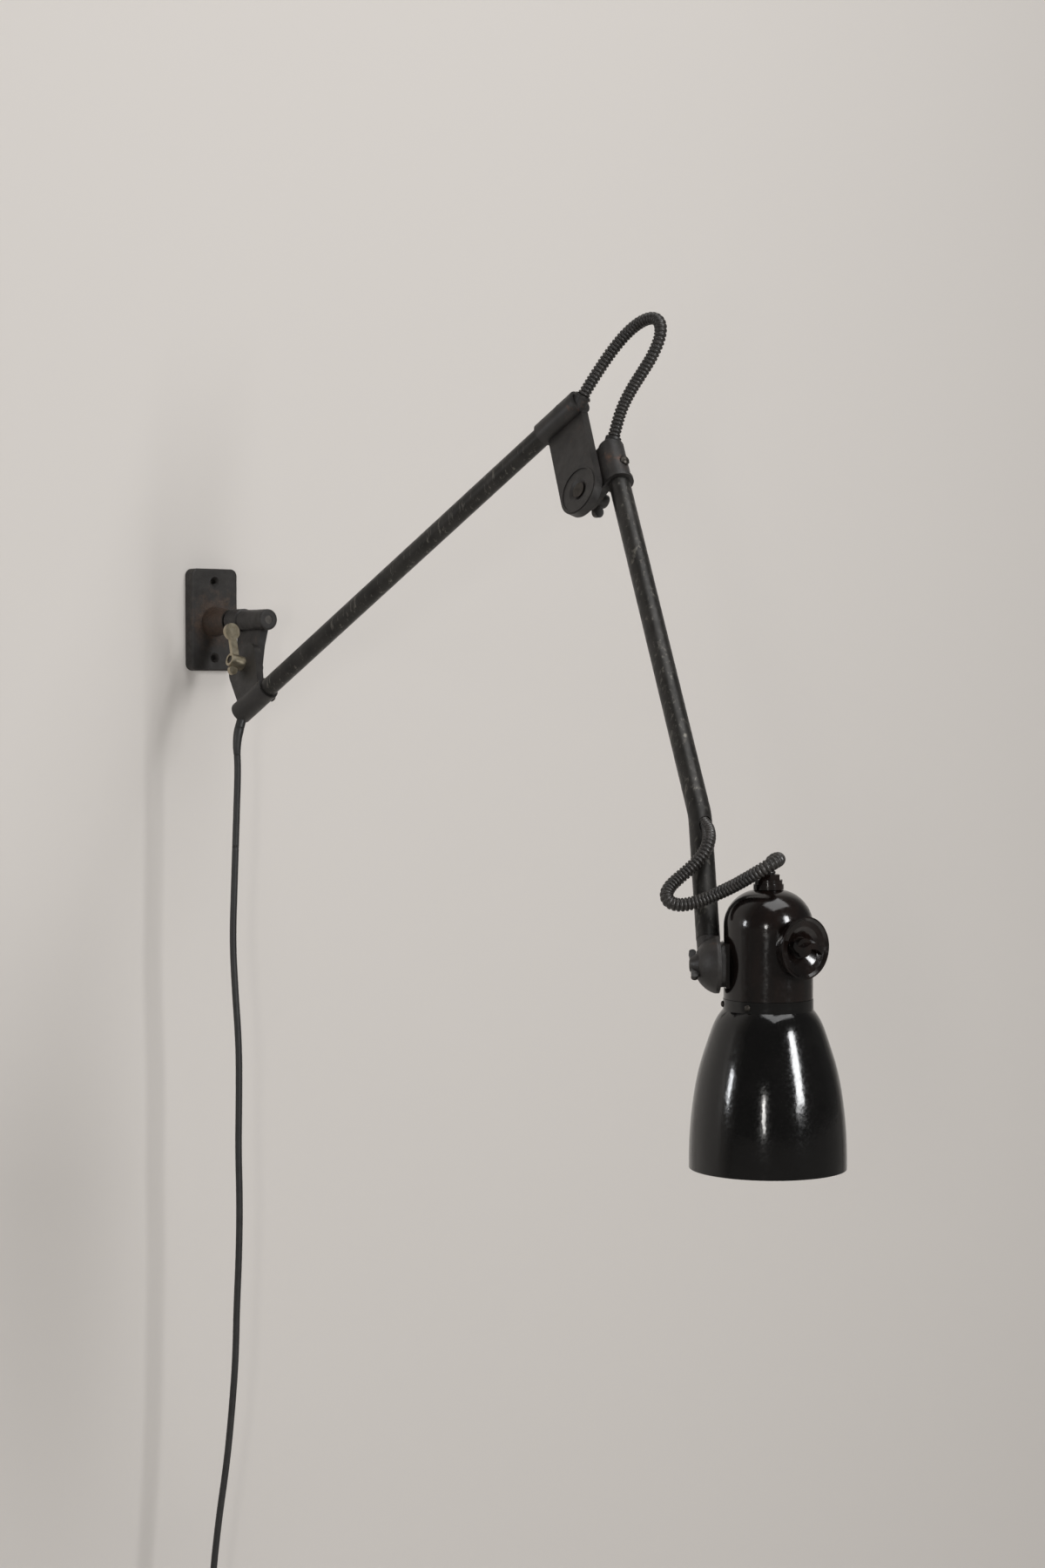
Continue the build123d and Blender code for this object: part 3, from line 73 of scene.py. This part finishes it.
# ---------------------------------------------------------------- materials
class Nodes:
    """A short way to wire a material."""

    def __init__(self, name):
        self.material = bpy.data.materials.new(name)
        self.material.use_nodes = True
        self.tree = self.material.node_tree
        self.tree.nodes.clear()
        self.out = self.tree.nodes.new("ShaderNodeOutputMaterial")
        self.shader = self.tree.nodes.new("ShaderNodeBsdfPrincipled")
        self.join(self.shader.outputs[0], self.out.inputs["Surface"])
        self.place = self.tree.nodes.new("ShaderNodeTexCoord")

    def add(self, kind, **settings):
        node = self.tree.nodes.new(kind)
        for key, value in settings.items():
            setattr(node, key, value)
        return node

    def join(self, a, b):
        self.tree.links.new(a, b)

    def noise(self, scale, detail=4.0, rough=0.55, stretch=None):
        node = self.add("ShaderNodeTexNoise")
        node.inputs["Scale"].default_value = scale
        node.inputs["Detail"].default_value = detail
        node.inputs["Roughness"].default_value = rough
        if stretch is None:
            self.join(self.place.outputs["Object"], node.inputs["Vector"])
        else:
            mapping = self.add("ShaderNodeMapping")
            mapping.inputs["Rotation"].default_value = stretch[0]
            mapping.inputs["Scale"].default_value = stretch[1]
            self.join(self.place.outputs["Object"], mapping.inputs["Vector"])
            self.join(mapping.outputs[0], node.inputs["Vector"])
        return node.outputs["Fac"]

    def ramp(self, value, stops):
        node = self.add("ShaderNodeValToRGB")
        ramp = node.color_ramp
        while len(ramp.elements) < len(stops):
            ramp.elements.new(0.5)
        for element, (spot, colour) in zip(ramp.elements, stops):
            element.position = spot
            element.color = (*colour, 1.0)
        self.join(value, node.inputs[0])
        return node.outputs[0]

    def mix(self, share, first, second):
        node = self.add("ShaderNodeMix", data_type="RGBA")
        self.join(share, node.inputs[0])
        for value, socket in ((first, node.inputs[6]), (second, node.inputs[7])):
            if isinstance(value, tuple):
                socket.default_value = (*value, 1.0)
            else:
                self.join(value, socket)
        return node.outputs[2]

    def math(self, operation, first, second=0.0):
        node = self.add("ShaderNodeMath", operation=operation, use_clamp=operation == "MULTIPLY")
        for value, socket in ((first, node.inputs[0]), (second, node.inputs[1])):
            if isinstance(value, (int, float)):
                socket.default_value = value
            else:
                self.join(value, socket)
        return node.outputs[0]

    def spread(self, value, low, high, start=0.3, end=0.7):
        node = self.add("ShaderNodeMapRange")
        self.join(value, node.inputs["Value"])
        node.inputs["From Min"].default_value = start
        node.inputs["From Max"].default_value = end
        node.inputs["To Min"].default_value = low
        node.inputs["To Max"].default_value = high
        return node.outputs[0]

    def bump(self, height, depth, strength=1.0):
        node = self.add("ShaderNodeBump")
        node.inputs["Strength"].default_value = strength
        node.inputs["Distance"].default_value = depth
        self.join(height, node.inputs["Height"])
        self.join(node.outputs[0], self.shader.inputs["Normal"])


def iron(name, dark, light):
    """Worn dark paint on cast iron: mottled, with a little rust and a grainy skin."""
    m = Nodes(name)
    base = m.ramp(m.noise(55, 8, 0.65), ((0.32, dark), (0.68, light)))
    rust = m.ramp(m.noise(900, 3), ((0.3, (0.05, 0.022, 0.012)), (0.7, (0.13, 0.06, 0.035))))
    patches = m.spread(m.noise(38, 9, 0.7), 0.0, 1.0, 0.62, 0.71)
    m.join(m.mix(patches, base, rust), m.shader.inputs["Base Color"])
    m.join(m.spread(m.noise(120, 6), 0.36, 0.56), m.shader.inputs["Roughness"])
    m.shader.inputs["Metallic"].default_value = 0.2
    m.bump(m.noise(1100, 4, 0.6), 0.00022, 0.8)
    return m


def plate_iron(name):
    """The wall plate: dark paint with a rusty patch round the pin and the boss's root."""
    m = Nodes(name)
    base = m.ramp(m.noise(60, 8, 0.65),
                  ((0.3, (0.008, 0.0072, 0.0066)), (0.7, (0.021, 0.019, 0.017))))
    rust = m.ramp(m.noise(420, 6, 0.6),
                  ((0.3, (0.035, 0.021, 0.014)), (0.72, (0.085, 0.052, 0.034))))
    split = m.add("ShaderNodeSeparateXYZ")
    m.join(m.place.outputs["Object"], split.inputs[0])
    across = m.math("POWER", m.math("ABSOLUTE", split.outputs["X"]), 2.0)
    height = m.math("POWER", m.math("ABSOLUTE", split.outputs["Z"]), 2.0)
    far = m.math("SQRT", m.math("ADD", across, height))
    ragged = m.math("ADD", far, m.spread(m.noise(90, 7, 0.7), -0.012, 0.012, 0.3, 0.7))
    patch = m.spread(ragged, 0.85, 0.05, 0.012, 0.03)
    m.join(m.mix(patch, base, rust), m.shader.inputs["Base Color"])
    m.join(m.spread(m.noise(130, 6), 0.45, 0.72), m.shader.inputs["Roughness"])
    m.shader.inputs["Metallic"].default_value = 0.2
    m.bump(m.noise(900, 5, 0.6), 0.0003, 0.9)
    return m


def tube_steel(name):
    """Dark paint on a drawn tube, rubbed through in fine upright streaks."""
    m = Nodes(name)
    base = m.ramp(m.noise(40, 8, 0.6),
                  ((0.3, (0.012, 0.0112, 0.0102)), (0.7, (0.03, 0.0278, 0.0252))))
    streaks = m.noise(260, 6, 0.7, ((0.0, 0.0, 0.0), (1.0, 1.0, 0.06)))
    worn = m.spread(streaks, 0.0, 0.85, 0.56, 0.72)
    m.join(m.mix(worn, base, (0.16, 0.15, 0.13)), m.shader.inputs["Base Color"])
    m.join(m.spread(m.noise(150, 6), 0.3, 0.5), m.shader.inputs["Roughness"])
    m.shader.inputs["Metallic"].default_value = 0.55
    m.bump(streaks, 0.00008, 0.6)
    return m


def metal(name, dark, light, rough):
    """Bare or plated metal with a dulled, mottled skin."""
    m = Nodes(name)
    skin = m.ramp(m.noise(140, 8, 0.65), ((0.3, dark), (0.7, light)))
    m.join(skin, m.shader.inputs["Base Color"])
    m.join(m.spread(m.noise(260, 6), *rough), m.shader.inputs["Roughness"])
    m.shader.inputs["Metallic"].default_value = 1.0
    m.bump(m.noise(700, 5, 0.6), 0.00006, 0.7)
    return m


def moulded(name):
    """Polished dark moulding: faint brown flow marks, small scuffs and a clear gloss."""
    m = Nodes(name)
    flow = m.noise(70, 7, 0.6, ((0.3, 0.2, 0.0), (1.0, 1.0, 0.35)))
    m.join(m.ramp(flow, ((0.35, (0.0026, 0.0021, 0.002)), (0.7, (0.0085, 0.005, 0.004)))),
           m.shader.inputs["Base Color"])
    m.join(m.spread(m.noise(330, 7, 0.7), 0.1, 0.26, 0.4, 0.75), m.shader.inputs["Roughness"])
    m.shader.inputs["Specular IOR Level"].default_value = 0.42
    m.bump(m.noise(160, 5), 0.00006, 0.5)
    return m


def enamel(name, axis_x, axis_y, rim_radius):
    """Black enamel outside, off-white enamel inside, a little uneven as fired glass is."""
    m = Nodes(name)
    centre = m.add("ShaderNodeVectorMath", operation="SUBTRACT")
    m.join(m.place.outputs["Object"], centre.inputs[0])
    centre.inputs[1].default_value = (axis_x, axis_y, 0.0)
    flat = m.add("ShaderNodeVectorMath", operation="MULTIPLY")
    m.join(centre.outputs[0], flat.inputs[0])
    flat.inputs[1].default_value = (1.0, 1.0, 0.0)
    facing = m.add("ShaderNodeVectorMath", operation="DOT_PRODUCT")
    m.join(flat.outputs[0], facing.inputs[0])
    m.join(m.place.outputs["Normal"], facing.inputs[1])
    radius = m.add("ShaderNodeVectorMath", operation="LENGTH")
    m.join(flat.outputs[0], radius.inputs[0])
    inward = m.math("LESS_THAN", facing.outputs["Value"], -0.0005)
    clear = m.math("LESS_THAN", radius.outputs["Value"], rim_radius - 0.0028)
    inside = m.math("MULTIPLY", inward, clear)
    black = m.ramp(m.noise(60, 6),
                   ((0.3, (0.0016, 0.0015, 0.0015)), (0.7, (0.0036, 0.0033, 0.0032))))
    white = m.ramp(m.noise(45, 6), ((0.3, (0.72, 0.7, 0.63)), (0.7, (0.83, 0.82, 0.77))))
    m.join(m.mix(inside, black, white), m.shader.inputs["Base Color"])
    m.join(m.spread(m.noise(420, 6, 0.7), 0.09, 0.22, 0.4, 0.75), m.shader.inputs["Roughness"])
    m.shader.inputs["Specular IOR Level"].default_value = 0.45
    m.bump(m.noise(55, 4), 0.0005, 0.5)
    return m


def sheath(name, dark, light, rough, metallic=0.0):
    """A dark flexible sheath with dust in its mottling."""
    m = Nodes(name)
    m.join(m.ramp(m.noise(90, 8, 0.6), ((0.3, dark), (0.72, light))), m.shader.inputs["Base Color"])
    m.join(m.spread(m.noise(300, 6), *rough), m.shader.inputs["Roughness"])
    m.shader.inputs["Metallic"].default_value = metallic
    m.bump(m.noise(1500, 4), 0.00005, 0.7)
    return m


def ceramic(name):
    """White glazed porcelain."""
    m = Nodes(name)
    m.join(m.ramp(m.noise(80, 5), ((0.3, (0.7, 0.68, 0.62)), (0.7, (0.82, 0.8, 0.75)))),
           m.shader.inputs["Base Color"])
    m.join(m.spread(m.noise(200, 5), 0.15, 0.3), m.shader.inputs["Roughness"])
    m.bump(m.noise(150, 3), 0.0001, 0.4)
    return m


def lamp_glass(name):
    """Clear bulb glass with a trace of dust."""
    m = Nodes(name)
    m.join(m.ramp(m.noise(120, 5), ((0.3, (0.93, 0.94, 0.93)), (0.7, (0.98, 0.98, 0.97)))),
           m.shader.inputs["Base Color"])
    m.join(m.spread(m.noise(260, 5), 0.02, 0.07), m.shader.inputs["Roughness"])
    m.shader.inputs["Transmission Weight"].default_value = 1.0
    m.shader.inputs["IOR"].default_value = 1.45
    return m


SHADE_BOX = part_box("shade")
SHADE_RADIUS = (SHADE_BOX[1][0] - SHADE_BOX[0][0]) / 2

castings = iron("casting_iron", (0.009, 0.008, 0.0075), (0.026, 0.023, 0.021))
plate = plate_iron("plate_iron")
lower_steel = tube_steel("lower_tube_steel")
upper_steel = tube_steel("upper_tube_steel")
dark_screw = metal("dark_screw", (0.03, 0.027, 0.024), (0.08, 0.072, 0.064), (0.38, 0.54))
nickel = metal("worn_nickel", (0.26, 0.22, 0.15), (0.46, 0.41, 0.31), (0.34, 0.52))
steel = metal("pin_steel", (0.06, 0.056, 0.052), (0.14, 0.13, 0.12), (0.34, 0.5))
brass = metal("brass", (0.5, 0.34, 0.12), (0.72, 0.54, 0.24), (0.24, 0.4))
cap_metal = metal("bulb_cap_metal", (0.6, 0.6, 0.58), (0.8, 0.79, 0.76), (0.25, 0.38))
housing_stuff = moulded("moulded_housing")
shade_stuff = enamel("black_enamel", (SHADE_BOX[0][0] + SHADE_BOX[1][0]) / 2,
                     (SHADE_BOX[0][1] + SHADE_BOX[1][1]) / 2, SHADE_RADIUS)
conduit_stuff = sheath("conduit_sheath", (0.011, 0.0098, 0.009), (0.032, 0.028, 0.025),
                       (0.32, 0.46), 0.2)
cord_stuff = sheath("cord_rubber", (0.005, 0.005, 0.005), (0.015, 0.0145, 0.014), (0.42, 0.58))
plug_stuff = sheath("plug_rubber", (0.01, 0.01, 0.01), (0.026, 0.025, 0.024), (0.32, 0.46))
porcelain = ceramic("porcelain")
glass = lamp_glass("bulb_glass")

CAD_LOOKS = {
    castings: (
        "pin_cap", "wall_knuckle", "lower_socket", "elbow_lower_casting", "elbow_wing_nut",
        "elbow_upper_casting", "conduit_ferrule", "head_casting", "head_wing_nut", "head_bracket",
    ),
    plate: ("wall_plate",),
    lower_steel: ("lower_tube",),
    upper_steel: ("upper_tube",),
    dark_screw: (
        "pin_washer", "wall_hinge_bolt", "wall_friction_washer", "lower_socket_screw",
        "elbow_lower_screws", "elbow_bolt", "elbow_friction_disc", "elbow_upper_screw",
        "head_friction_washer", "head_hinge_bolt", "shade_screws",
    ),
    nickel: ("wall_wing_nut",),
    steel: ("wall_pin",),
    brass: ("switch_spindle", "holder_shell", "centre_contact", "plug_pins"),
    cap_metal: ("bulb_cap",),
    housing_stuff: ("housing", "head_gland", "switch_dish", "switch_key", "shade_ring"),
    shade_stuff: ("shade",),
    porcelain: ("switch_block", "lamp_holder"),
    glass: ("bulb_glass",),
    conduit_stuff: ("elbow_conduit", "head_conduit"),
    cord_stuff: ("cord_bush", "cord_lead", "mains_cord", "cord_coil", "cord_tail", "cord_tie"),
    plug_stuff: ("mains_plug",),
}
for look, nodes in CAD_LOOKS.items():
    for node in nodes:
        data = bpy.data.objects[node].data
        data.materials.clear()
        data.materials.append(look.material)


# ---------------------------------------------------------------- conduits and cords
def spline_object(name, points):
    """A smooth open curve with these control points."""
    curve = bpy.data.curves.new(name, "CURVE")
    curve.dimensions = "3D"
    curve.resolution_u = 12
    spline = curve.splines.new("NURBS")
    spline.points.add(len(points) - 1)
    for spot, point in zip(spline.points, points):
        spot.co = (*point, 1.0)
    spline.order_u = 3
    spline.use_endpoint_u = True
    thing = bpy.data.objects.new(name, curve)
    bpy.context.scene.collection.objects.link(thing)
    return thing


def read_line(points):
    """The points of that curve, close together and in order."""
    thing = spline_object("route", points)
    bpy.context.view_layer.update()
    graph = bpy.context.evaluated_depsgraph_get()
    mesh = bpy.data.meshes.new_from_object(thing.evaluated_get(graph))
    line = [vertex.co.copy() for vertex in mesh.vertices]
    bpy.data.objects.remove(thing)
    bpy.data.meshes.remove(mesh)
    return line


def line_length(line):
    return sum((b - a).length for a, b in zip(line, line[1:]))


def along(line, spots):
    """Places and directions at these lengths along the line, in rising order."""
    found = []
    index = 0
    walked = 0.0
    for spot in spots:
        while index < len(line) - 2 and walked + (line[index + 1] - line[index]).length < spot:
            walked += (line[index + 1] - line[index]).length
            index += 1
        step = line[index + 1] - line[index]
        share = min(max((spot - walked) / step.length, 0.0), 1.0)
        before = line[max(index - 1, 0)]
        after = line[min(index + 2, len(line) - 1)]
        found.append((line[index] + step * share, (after - before).normalized()))
    return found


def tube(name, line, rings, sides, look):
    """A round skin along the line; rings are (length along it, radius), closed at both ends."""
    places = along(line, [spot for spot, radius in rings])
    normal = places[0][1].orthogonal().normalized()
    vertices = []
    for (centre, direction), (spot, radius) in zip(places, rings):
        normal = (normal - direction * normal.dot(direction)).normalized()
        other = direction.cross(normal)
        for side in range(sides):
            angle = 2 * math.pi * side / sides
            vertices.append(centre + (normal * math.cos(angle) + other * math.sin(angle)) * radius)
    faces = []
    for ring in range(len(rings) - 1):
        for side in range(sides):
            a = ring * sides + side
            b = ring * sides + (side + 1) % sides
            faces.append((a, b, b + sides, a + sides))
    faces.append(tuple(reversed(range(sides))))
    faces.append(tuple(range((len(rings) - 1) * sides, len(rings) * sides)))
    mesh = bpy.data.meshes.new(name)
    mesh.from_pydata(vertices, [], faces)
    mesh.polygons.foreach_set("use_smooth", [True] * len(faces))
    mesh.materials.append(look.material)
    thing = bpy.data.objects.new(name, mesh)
    bpy.context.scene.collection.objects.link(thing)
    return thing


def ribbed(length, ribs, top, depth):
    """Rings of a hose with rounded ribs and narrow grooves between them."""
    shape = ((0.0, 0.75), (0.14, 0.2), (0.3, 0.0), (0.5, 0.0),
             (0.66, 0.2), (0.8, 0.75), (0.9, 1.0))
    rings = []
    for rib in range(ribs):
        for share, low in shape:
            rings.append(((rib + share) * length / ribs, top - depth * low))
    rings.append((length, top - depth))
    return rings


def at(origin, x_dir, y_dir, z_dir, spot):
    return origin + x_dir * spot[0] + y_dir * spot[1] + z_dir * spot[2]


# Planes and lines of the solids: an origin, then directions
MM = 0.001
ARMS = (Vector((0, 0, -0.002)), Vector((0, -1, 0)), Vector((0.300706, 0, 0.953717)),
        Vector((-0.953717, 0, 0.300706)))
HEAD = (Vector((-0.067441, -0.871394, -0.273877)), Vector((0.838142, -0.545452, 0)),
        Vector((0.545452, 0.838142, 0)), Vector((0, 0, 1)))
FERRULE = (Vector((0.046709, -0.552888, 0.174408)), Vector((0.268783, -0.448383, 0.852472)))
UPPER_FERRULE = (Vector((0.055236, -0.585209, 0.133281)),
                 Vector((0.300706, -0.000524, 0.953717)))
SLOT = (Vector((-0.039892, -0.816596, -0.168427)), Vector((-0.24845, -0.864875, -0.436192)))
GLAND_AXIS = Vector((-0.036681, -0.891413, -0.273877))
BUSH = (Vector((-0.041762, -0.132599, -0.106184)), Vector((-0.300706, 0, -0.953717)))

# Routes in millimetres: the loops in the arms' and the head's own directions
ELBOW_LOOP = (
    (568.3, 216.0, 5.8), (576.7, 230.1, 4.4), (587.3, 243.4, 3.0), (599.6, 252.0, 1.7),
    (611.2, 255.6, 0.3), (620.6, 253.6, -1.1), (626.2, 246.6, -2.4), (626.2, 235.8, -3.8),
    (619.9, 221.4, -5.2), (608.5, 207.2, -6.5), (597.2, 193.0, -7.9), (588.8, 177.1, -9.6),
)
HEAD_LOOP = (
    (-2.9, 34.6, 92.0), (-4.8, 30.1, 86.0), (-8.9, 27.2, 79.0), (-17.0, 25.8, 70.8),
    (-26.9, 24.6, 62.6), (-34.0, 21.6, 56.8), (-37.9, 17.0, 50.6), (-35.6, 12.2, 45.0),
    (-28.0, 8.4, 43.1), (-16.4, 5.4, 45.6), (-7.0, 2.4, 49.6), (2.0, -2.2, 54.2),
    (10.6, -8.2, 59.1), (20.0, -15.6, 65.5), (29.2, -21.0, 71.8), (36.6, -20.6, 76.0),
    (41.8, -15.8, 78.2), (42.6, -9.4, 78.8), (40.2, -4.2, 77.6), (37.6, -1.0, 74.4),
)
LEAD = ((-43.3, -131.9, -143.3), (-44.3, -130.9, -183.0), (-45.2, -129.9, -221.0))
MAINS = (
    (-46.1, -128.9, -259.0), (-47.4, -127.6, -311.0), (-46.0, -129.4, -358.0),
    (-43.5, -132.2, -412.0), (-43.9, -132.7, -463.0), (-44.9, -132.7, -513.0),
    (-43.8, -133.2, -564.0), (-44.4, -132.3, -618.0), (-46.1, -130.7, -666.0),
    (-46.9, -129.6, -717.0), (-49.4, -126.3, -768.0), (-52.8, -122.2, -819.0),
    (-57.8, -115.9, -871.0), (-61.8, -112.2, -918.0), (-63.6, -110.8, -950.0),
    (-63.6, -110.8, -978.5),
)

CORD_RADIUS = 0.00325
ELBOW_HOSE_RADIUS = 0.0054
HEAD_HOSE_RADIUS = 0.0052
SKIN = 0.00002
GROOVE = 0.0012
HOSE_SIDES = 22

# Elbow conduit: from the lower arm's ferrule over the elbow into the upper arm's
elbow_points = [FERRULE[0], FERRULE[0] + FERRULE[1] * 0.012]
elbow_points += [at(*ARMS, Vector(spot) * MM) for spot in ELBOW_LOOP]
elbow_points += [UPPER_FERRULE[0] + UPPER_FERRULE[1] * 0.010, UPPER_FERRULE[0]]
elbow_line = read_line(elbow_points)
elbow_length = line_length(elbow_line)
elbow_ribs = ribbed(elbow_length, 68, ELBOW_HOSE_RADIUS - SKIN, GROOVE)
elbow_hose = tube("elbow_hose", elbow_line, elbow_ribs, HOSE_SIDES, conduit_stuff)
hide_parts("elbow_conduit")
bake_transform(elbow_hose)

# Head conduit: out of the tube's slot, round a small loop and into the housing's gland
head_points = [SLOT[0], SLOT[0] + SLOT[1] * 0.008, SLOT[0] + SLOT[1] * 0.017]
head_points += [at(*HEAD, Vector(spot) * MM) for spot in HEAD_LOOP]
head_points += [GLAND_AXIS + Vector((0, 0, 0.0698)), GLAND_AXIS + Vector((0, 0, 0.0608))]
head_line = read_line(head_points)
head_length = line_length(head_line)
head_ribs = ribbed(head_length, 76, HEAD_HOSE_RADIUS - SKIN, GROOVE)
head_hose = tube("head_hose", head_line, head_ribs, HOSE_SIDES, conduit_stuff)
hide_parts("head_conduit")
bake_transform(head_hose)

# Lead: out of the bush and down, following the lower arm and then the knuckle
lead_points = [BUSH[0], BUSH[0] + BUSH[1] * 0.013] + [Vector(spot) * MM for spot in LEAD]
lead_line = read_line(lead_points)
lead_length = line_length(lead_line)
lead_rings = [(spot * lead_length / 60, CORD_RADIUS) for spot in range(61)]
lead_tube = tube("lead_tube", lead_line, lead_rings, 24, cord_stuff)
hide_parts("cord_lead")
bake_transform(lead_tube)

# Strain relief, tapered along the start of the lead
relief_rings = [(0.0, 0.0046), (0.002, 0.00475), (0.008, 0.0045), (0.014, 0.00415),
                (0.020, 0.0038), (0.025, 0.00345), (0.027, 0.0033)]
relief = tube("lead_relief", lead_line, relief_rings, 28, cord_stuff)
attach(relief, "lower_arm")

# Mains cord: the hanging run, which follows the knuckle at its top and the wall below
mains_points = [Vector(LEAD[2]) * MM] + [Vector(spot) * MM for spot in MAINS]
mains_line = read_line(mains_points)
mains_length = line_length(mains_line)
mains_rings = [(spot * mains_length / 260, CORD_RADIUS) for spot in range(261)]
mains_tube = tube("mains_tube", mains_line, mains_rings, 20, cord_stuff)
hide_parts("mains_cord")
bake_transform(mains_tube)

# The put-away coil and its tail
COIL_RADII = (38.0, 34.5, 31.0, 27.5, 24.0, 20.5, 27.5, 31.0, 34.5, 38.0, 41.5)
COIL_CENTRE = Vector((-0.0256, -0.1108, -0.985))
CLIMB = 4
STEPS = 8
INWARD_CUT = 1 / (0.75 + 0.25 * math.cos(math.pi / STEPS))
coil_points = [Vector((-0.0636, -0.1108, -0.9785))]
for half in range(10):
    for step in range(STEPS):
        share = step / STEPS
        angle = math.pi * (half + share)
        reach = COIL_RADII[half] * (1 - share) + COIL_RADII[half + 1] * share
        radius = reach * MM * INWARD_CUT
        climbed = share * share * (3 - 2 * share)
        lift = 0.007 * (0.0 if half < CLIMB else 1.0 if half > CLIMB else climbed)
        out = Vector((-math.cos(angle) * radius, -lift, -math.sin(angle) * radius))
        coil_points.append(COIL_CENTRE + out)
coil_points.append(COIL_CENTRE + Vector((-0.0415 * INWARD_CUT, -0.007, 0)))
coil_points.append(COIL_CENTRE + Vector((-0.0415, -0.007, -0.0065)))
coil_points.append(COIL_CENTRE + Vector((-0.0415, -0.007, -0.028)))
coil_points.append(COIL_CENTRE + Vector((-0.0415, -0.007, -0.0505)))
coil_line = read_line(coil_points)
coil_length = line_length(coil_line)
coil_rings = [(spot * coil_length / 420, CORD_RADIUS - 0.00005) for spot in range(421)]
coil_tube = tube("coil_tube", coil_line, coil_rings, 18, cord_stuff)
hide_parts("cord_coil", "cord_tail")
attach(coil_tube, "wall_mount")


# ---------------------------------------------------------------- stage and light
def stage_look(name, colour, shown):
    """A pale surface that keeps its shadows; it is clear from behind."""
    m = Nodes(name)
    m.shader.inputs["Base Color"].default_value = (*colour, 1.0)
    m.shader.inputs["Roughness"].default_value = 0.9
    paths = m.add("ShaderNodeLightPath")
    facing = m.add("ShaderNodeNewGeometry")
    seen = m.math("ADD", paths.outputs["Is Camera Ray"], paths.outputs["Is Glossy Ray"])
    seen = m.math("MULTIPLY", m.math("ADD", seen, paths.outputs["Is Transmission Ray"]), shown)
    m.join(seen, m.shader.inputs["Emission Strength"])
    m.shader.inputs["Emission Color"].default_value = (*colour, 1.0)
    clear = m.add("ShaderNodeBsdfTransparent")
    blend = m.add("ShaderNodeMixShader")
    m.join(facing.outputs["Backfacing"], blend.inputs[0])
    m.join(m.shader.outputs[0], blend.inputs[1])
    m.join(clear.outputs[0], blend.inputs[2])
    m.join(blend.outputs[0], m.out.inputs["Surface"])
    return m


def sheet(name, corners, look):
    mesh = bpy.data.meshes.new(name)
    mesh.from_pydata(corners, [], [tuple(range(len(corners)))])
    mesh.materials.append(look.material)
    thing = bpy.data.objects.new(name, mesh)
    bpy.context.scene.collection.objects.link(thing)
    return thing


SKY_LIGHT = 0.13
SKY_SEEN = 0.68
FLOOR = -1.6
ROOM = 30.0
WALL = 0.0005
wall_look = stage_look("wall_paint", (0.485, 0.458, 0.432), 0.24)
sheet("stage_wall", [(-ROOM, WALL, FLOOR), (ROOM, WALL, FLOOR),
                     (ROOM, WALL, ROOM), (-ROOM, WALL, ROOM)], wall_look)
floor_look = stage_look("floor_paint", (0.62, 0.6, 0.57), 0.25)
sheet("stage_floor", [(-ROOM, -ROOM, FLOOR), (ROOM, -ROOM, FLOOR),
                      (ROOM, ROOM, FLOOR), (-ROOM, ROOM, FLOOR)], floor_look)


def lamp(name, place, target, size, power, colour):
    data = bpy.data.lights.new(name, "AREA")
    data.shape = "RECTANGLE"
    data.size, data.size_y = size
    data.energy = power
    data.color = colour
    thing = bpy.data.objects.new(name, data)
    thing.location = place
    thing.rotation_euler = (Vector(target) - Vector(place)).to_track_quat("-Z", "Y").to_euler()
    bpy.context.scene.collection.objects.link(thing)


lamp("window_front", (0.38, -3.3, 0.55), (-0.03, -0.85, -0.15), (0.5, 1.3), 62, (0.98, 0.99, 1.0))
lamp("window_side", (-2.1, -0.35, 0.1), (0, -0.8, -0.3), (0.2, 0.5), 9, (0.95, 0.97, 1.0))
lamp("window_far", (-2.0, -2.7, -0.1), (0, -0.8, -0.3), (0.16, 0.45), 9, (1.0, 0.98, 0.95))
lamp("ceiling", (0.2, -1.6, 2.4), (0, -0.6, 0), (2.2, 1.6), 40, (1.0, 1.0, 1.0))

world = bpy.data.worlds.new("world")
world.use_nodes = True
sky = world.node_tree
rays = sky.nodes.new("ShaderNodeLightPath")
seen = sky.nodes.new("ShaderNodeMath")
seen.operation = "MAXIMUM"
sky.links.new(rays.outputs["Is Camera Ray"], seen.inputs[0])
sky.links.new(rays.outputs["Is Transmission Ray"], seen.inputs[1])
level = sky.nodes.new("ShaderNodeMapRange")
level.inputs["To Min"].default_value = SKY_LIGHT
level.inputs["To Max"].default_value = SKY_SEEN
sky.links.new(seen.outputs[0], level.inputs["Value"])
sky.nodes["Background"].inputs[0].default_value = (0.85, 0.83, 0.8, 1.0)
sky.links.new(level.outputs[0], sky.nodes["Background"].inputs[1])
bpy.context.scene.world = world
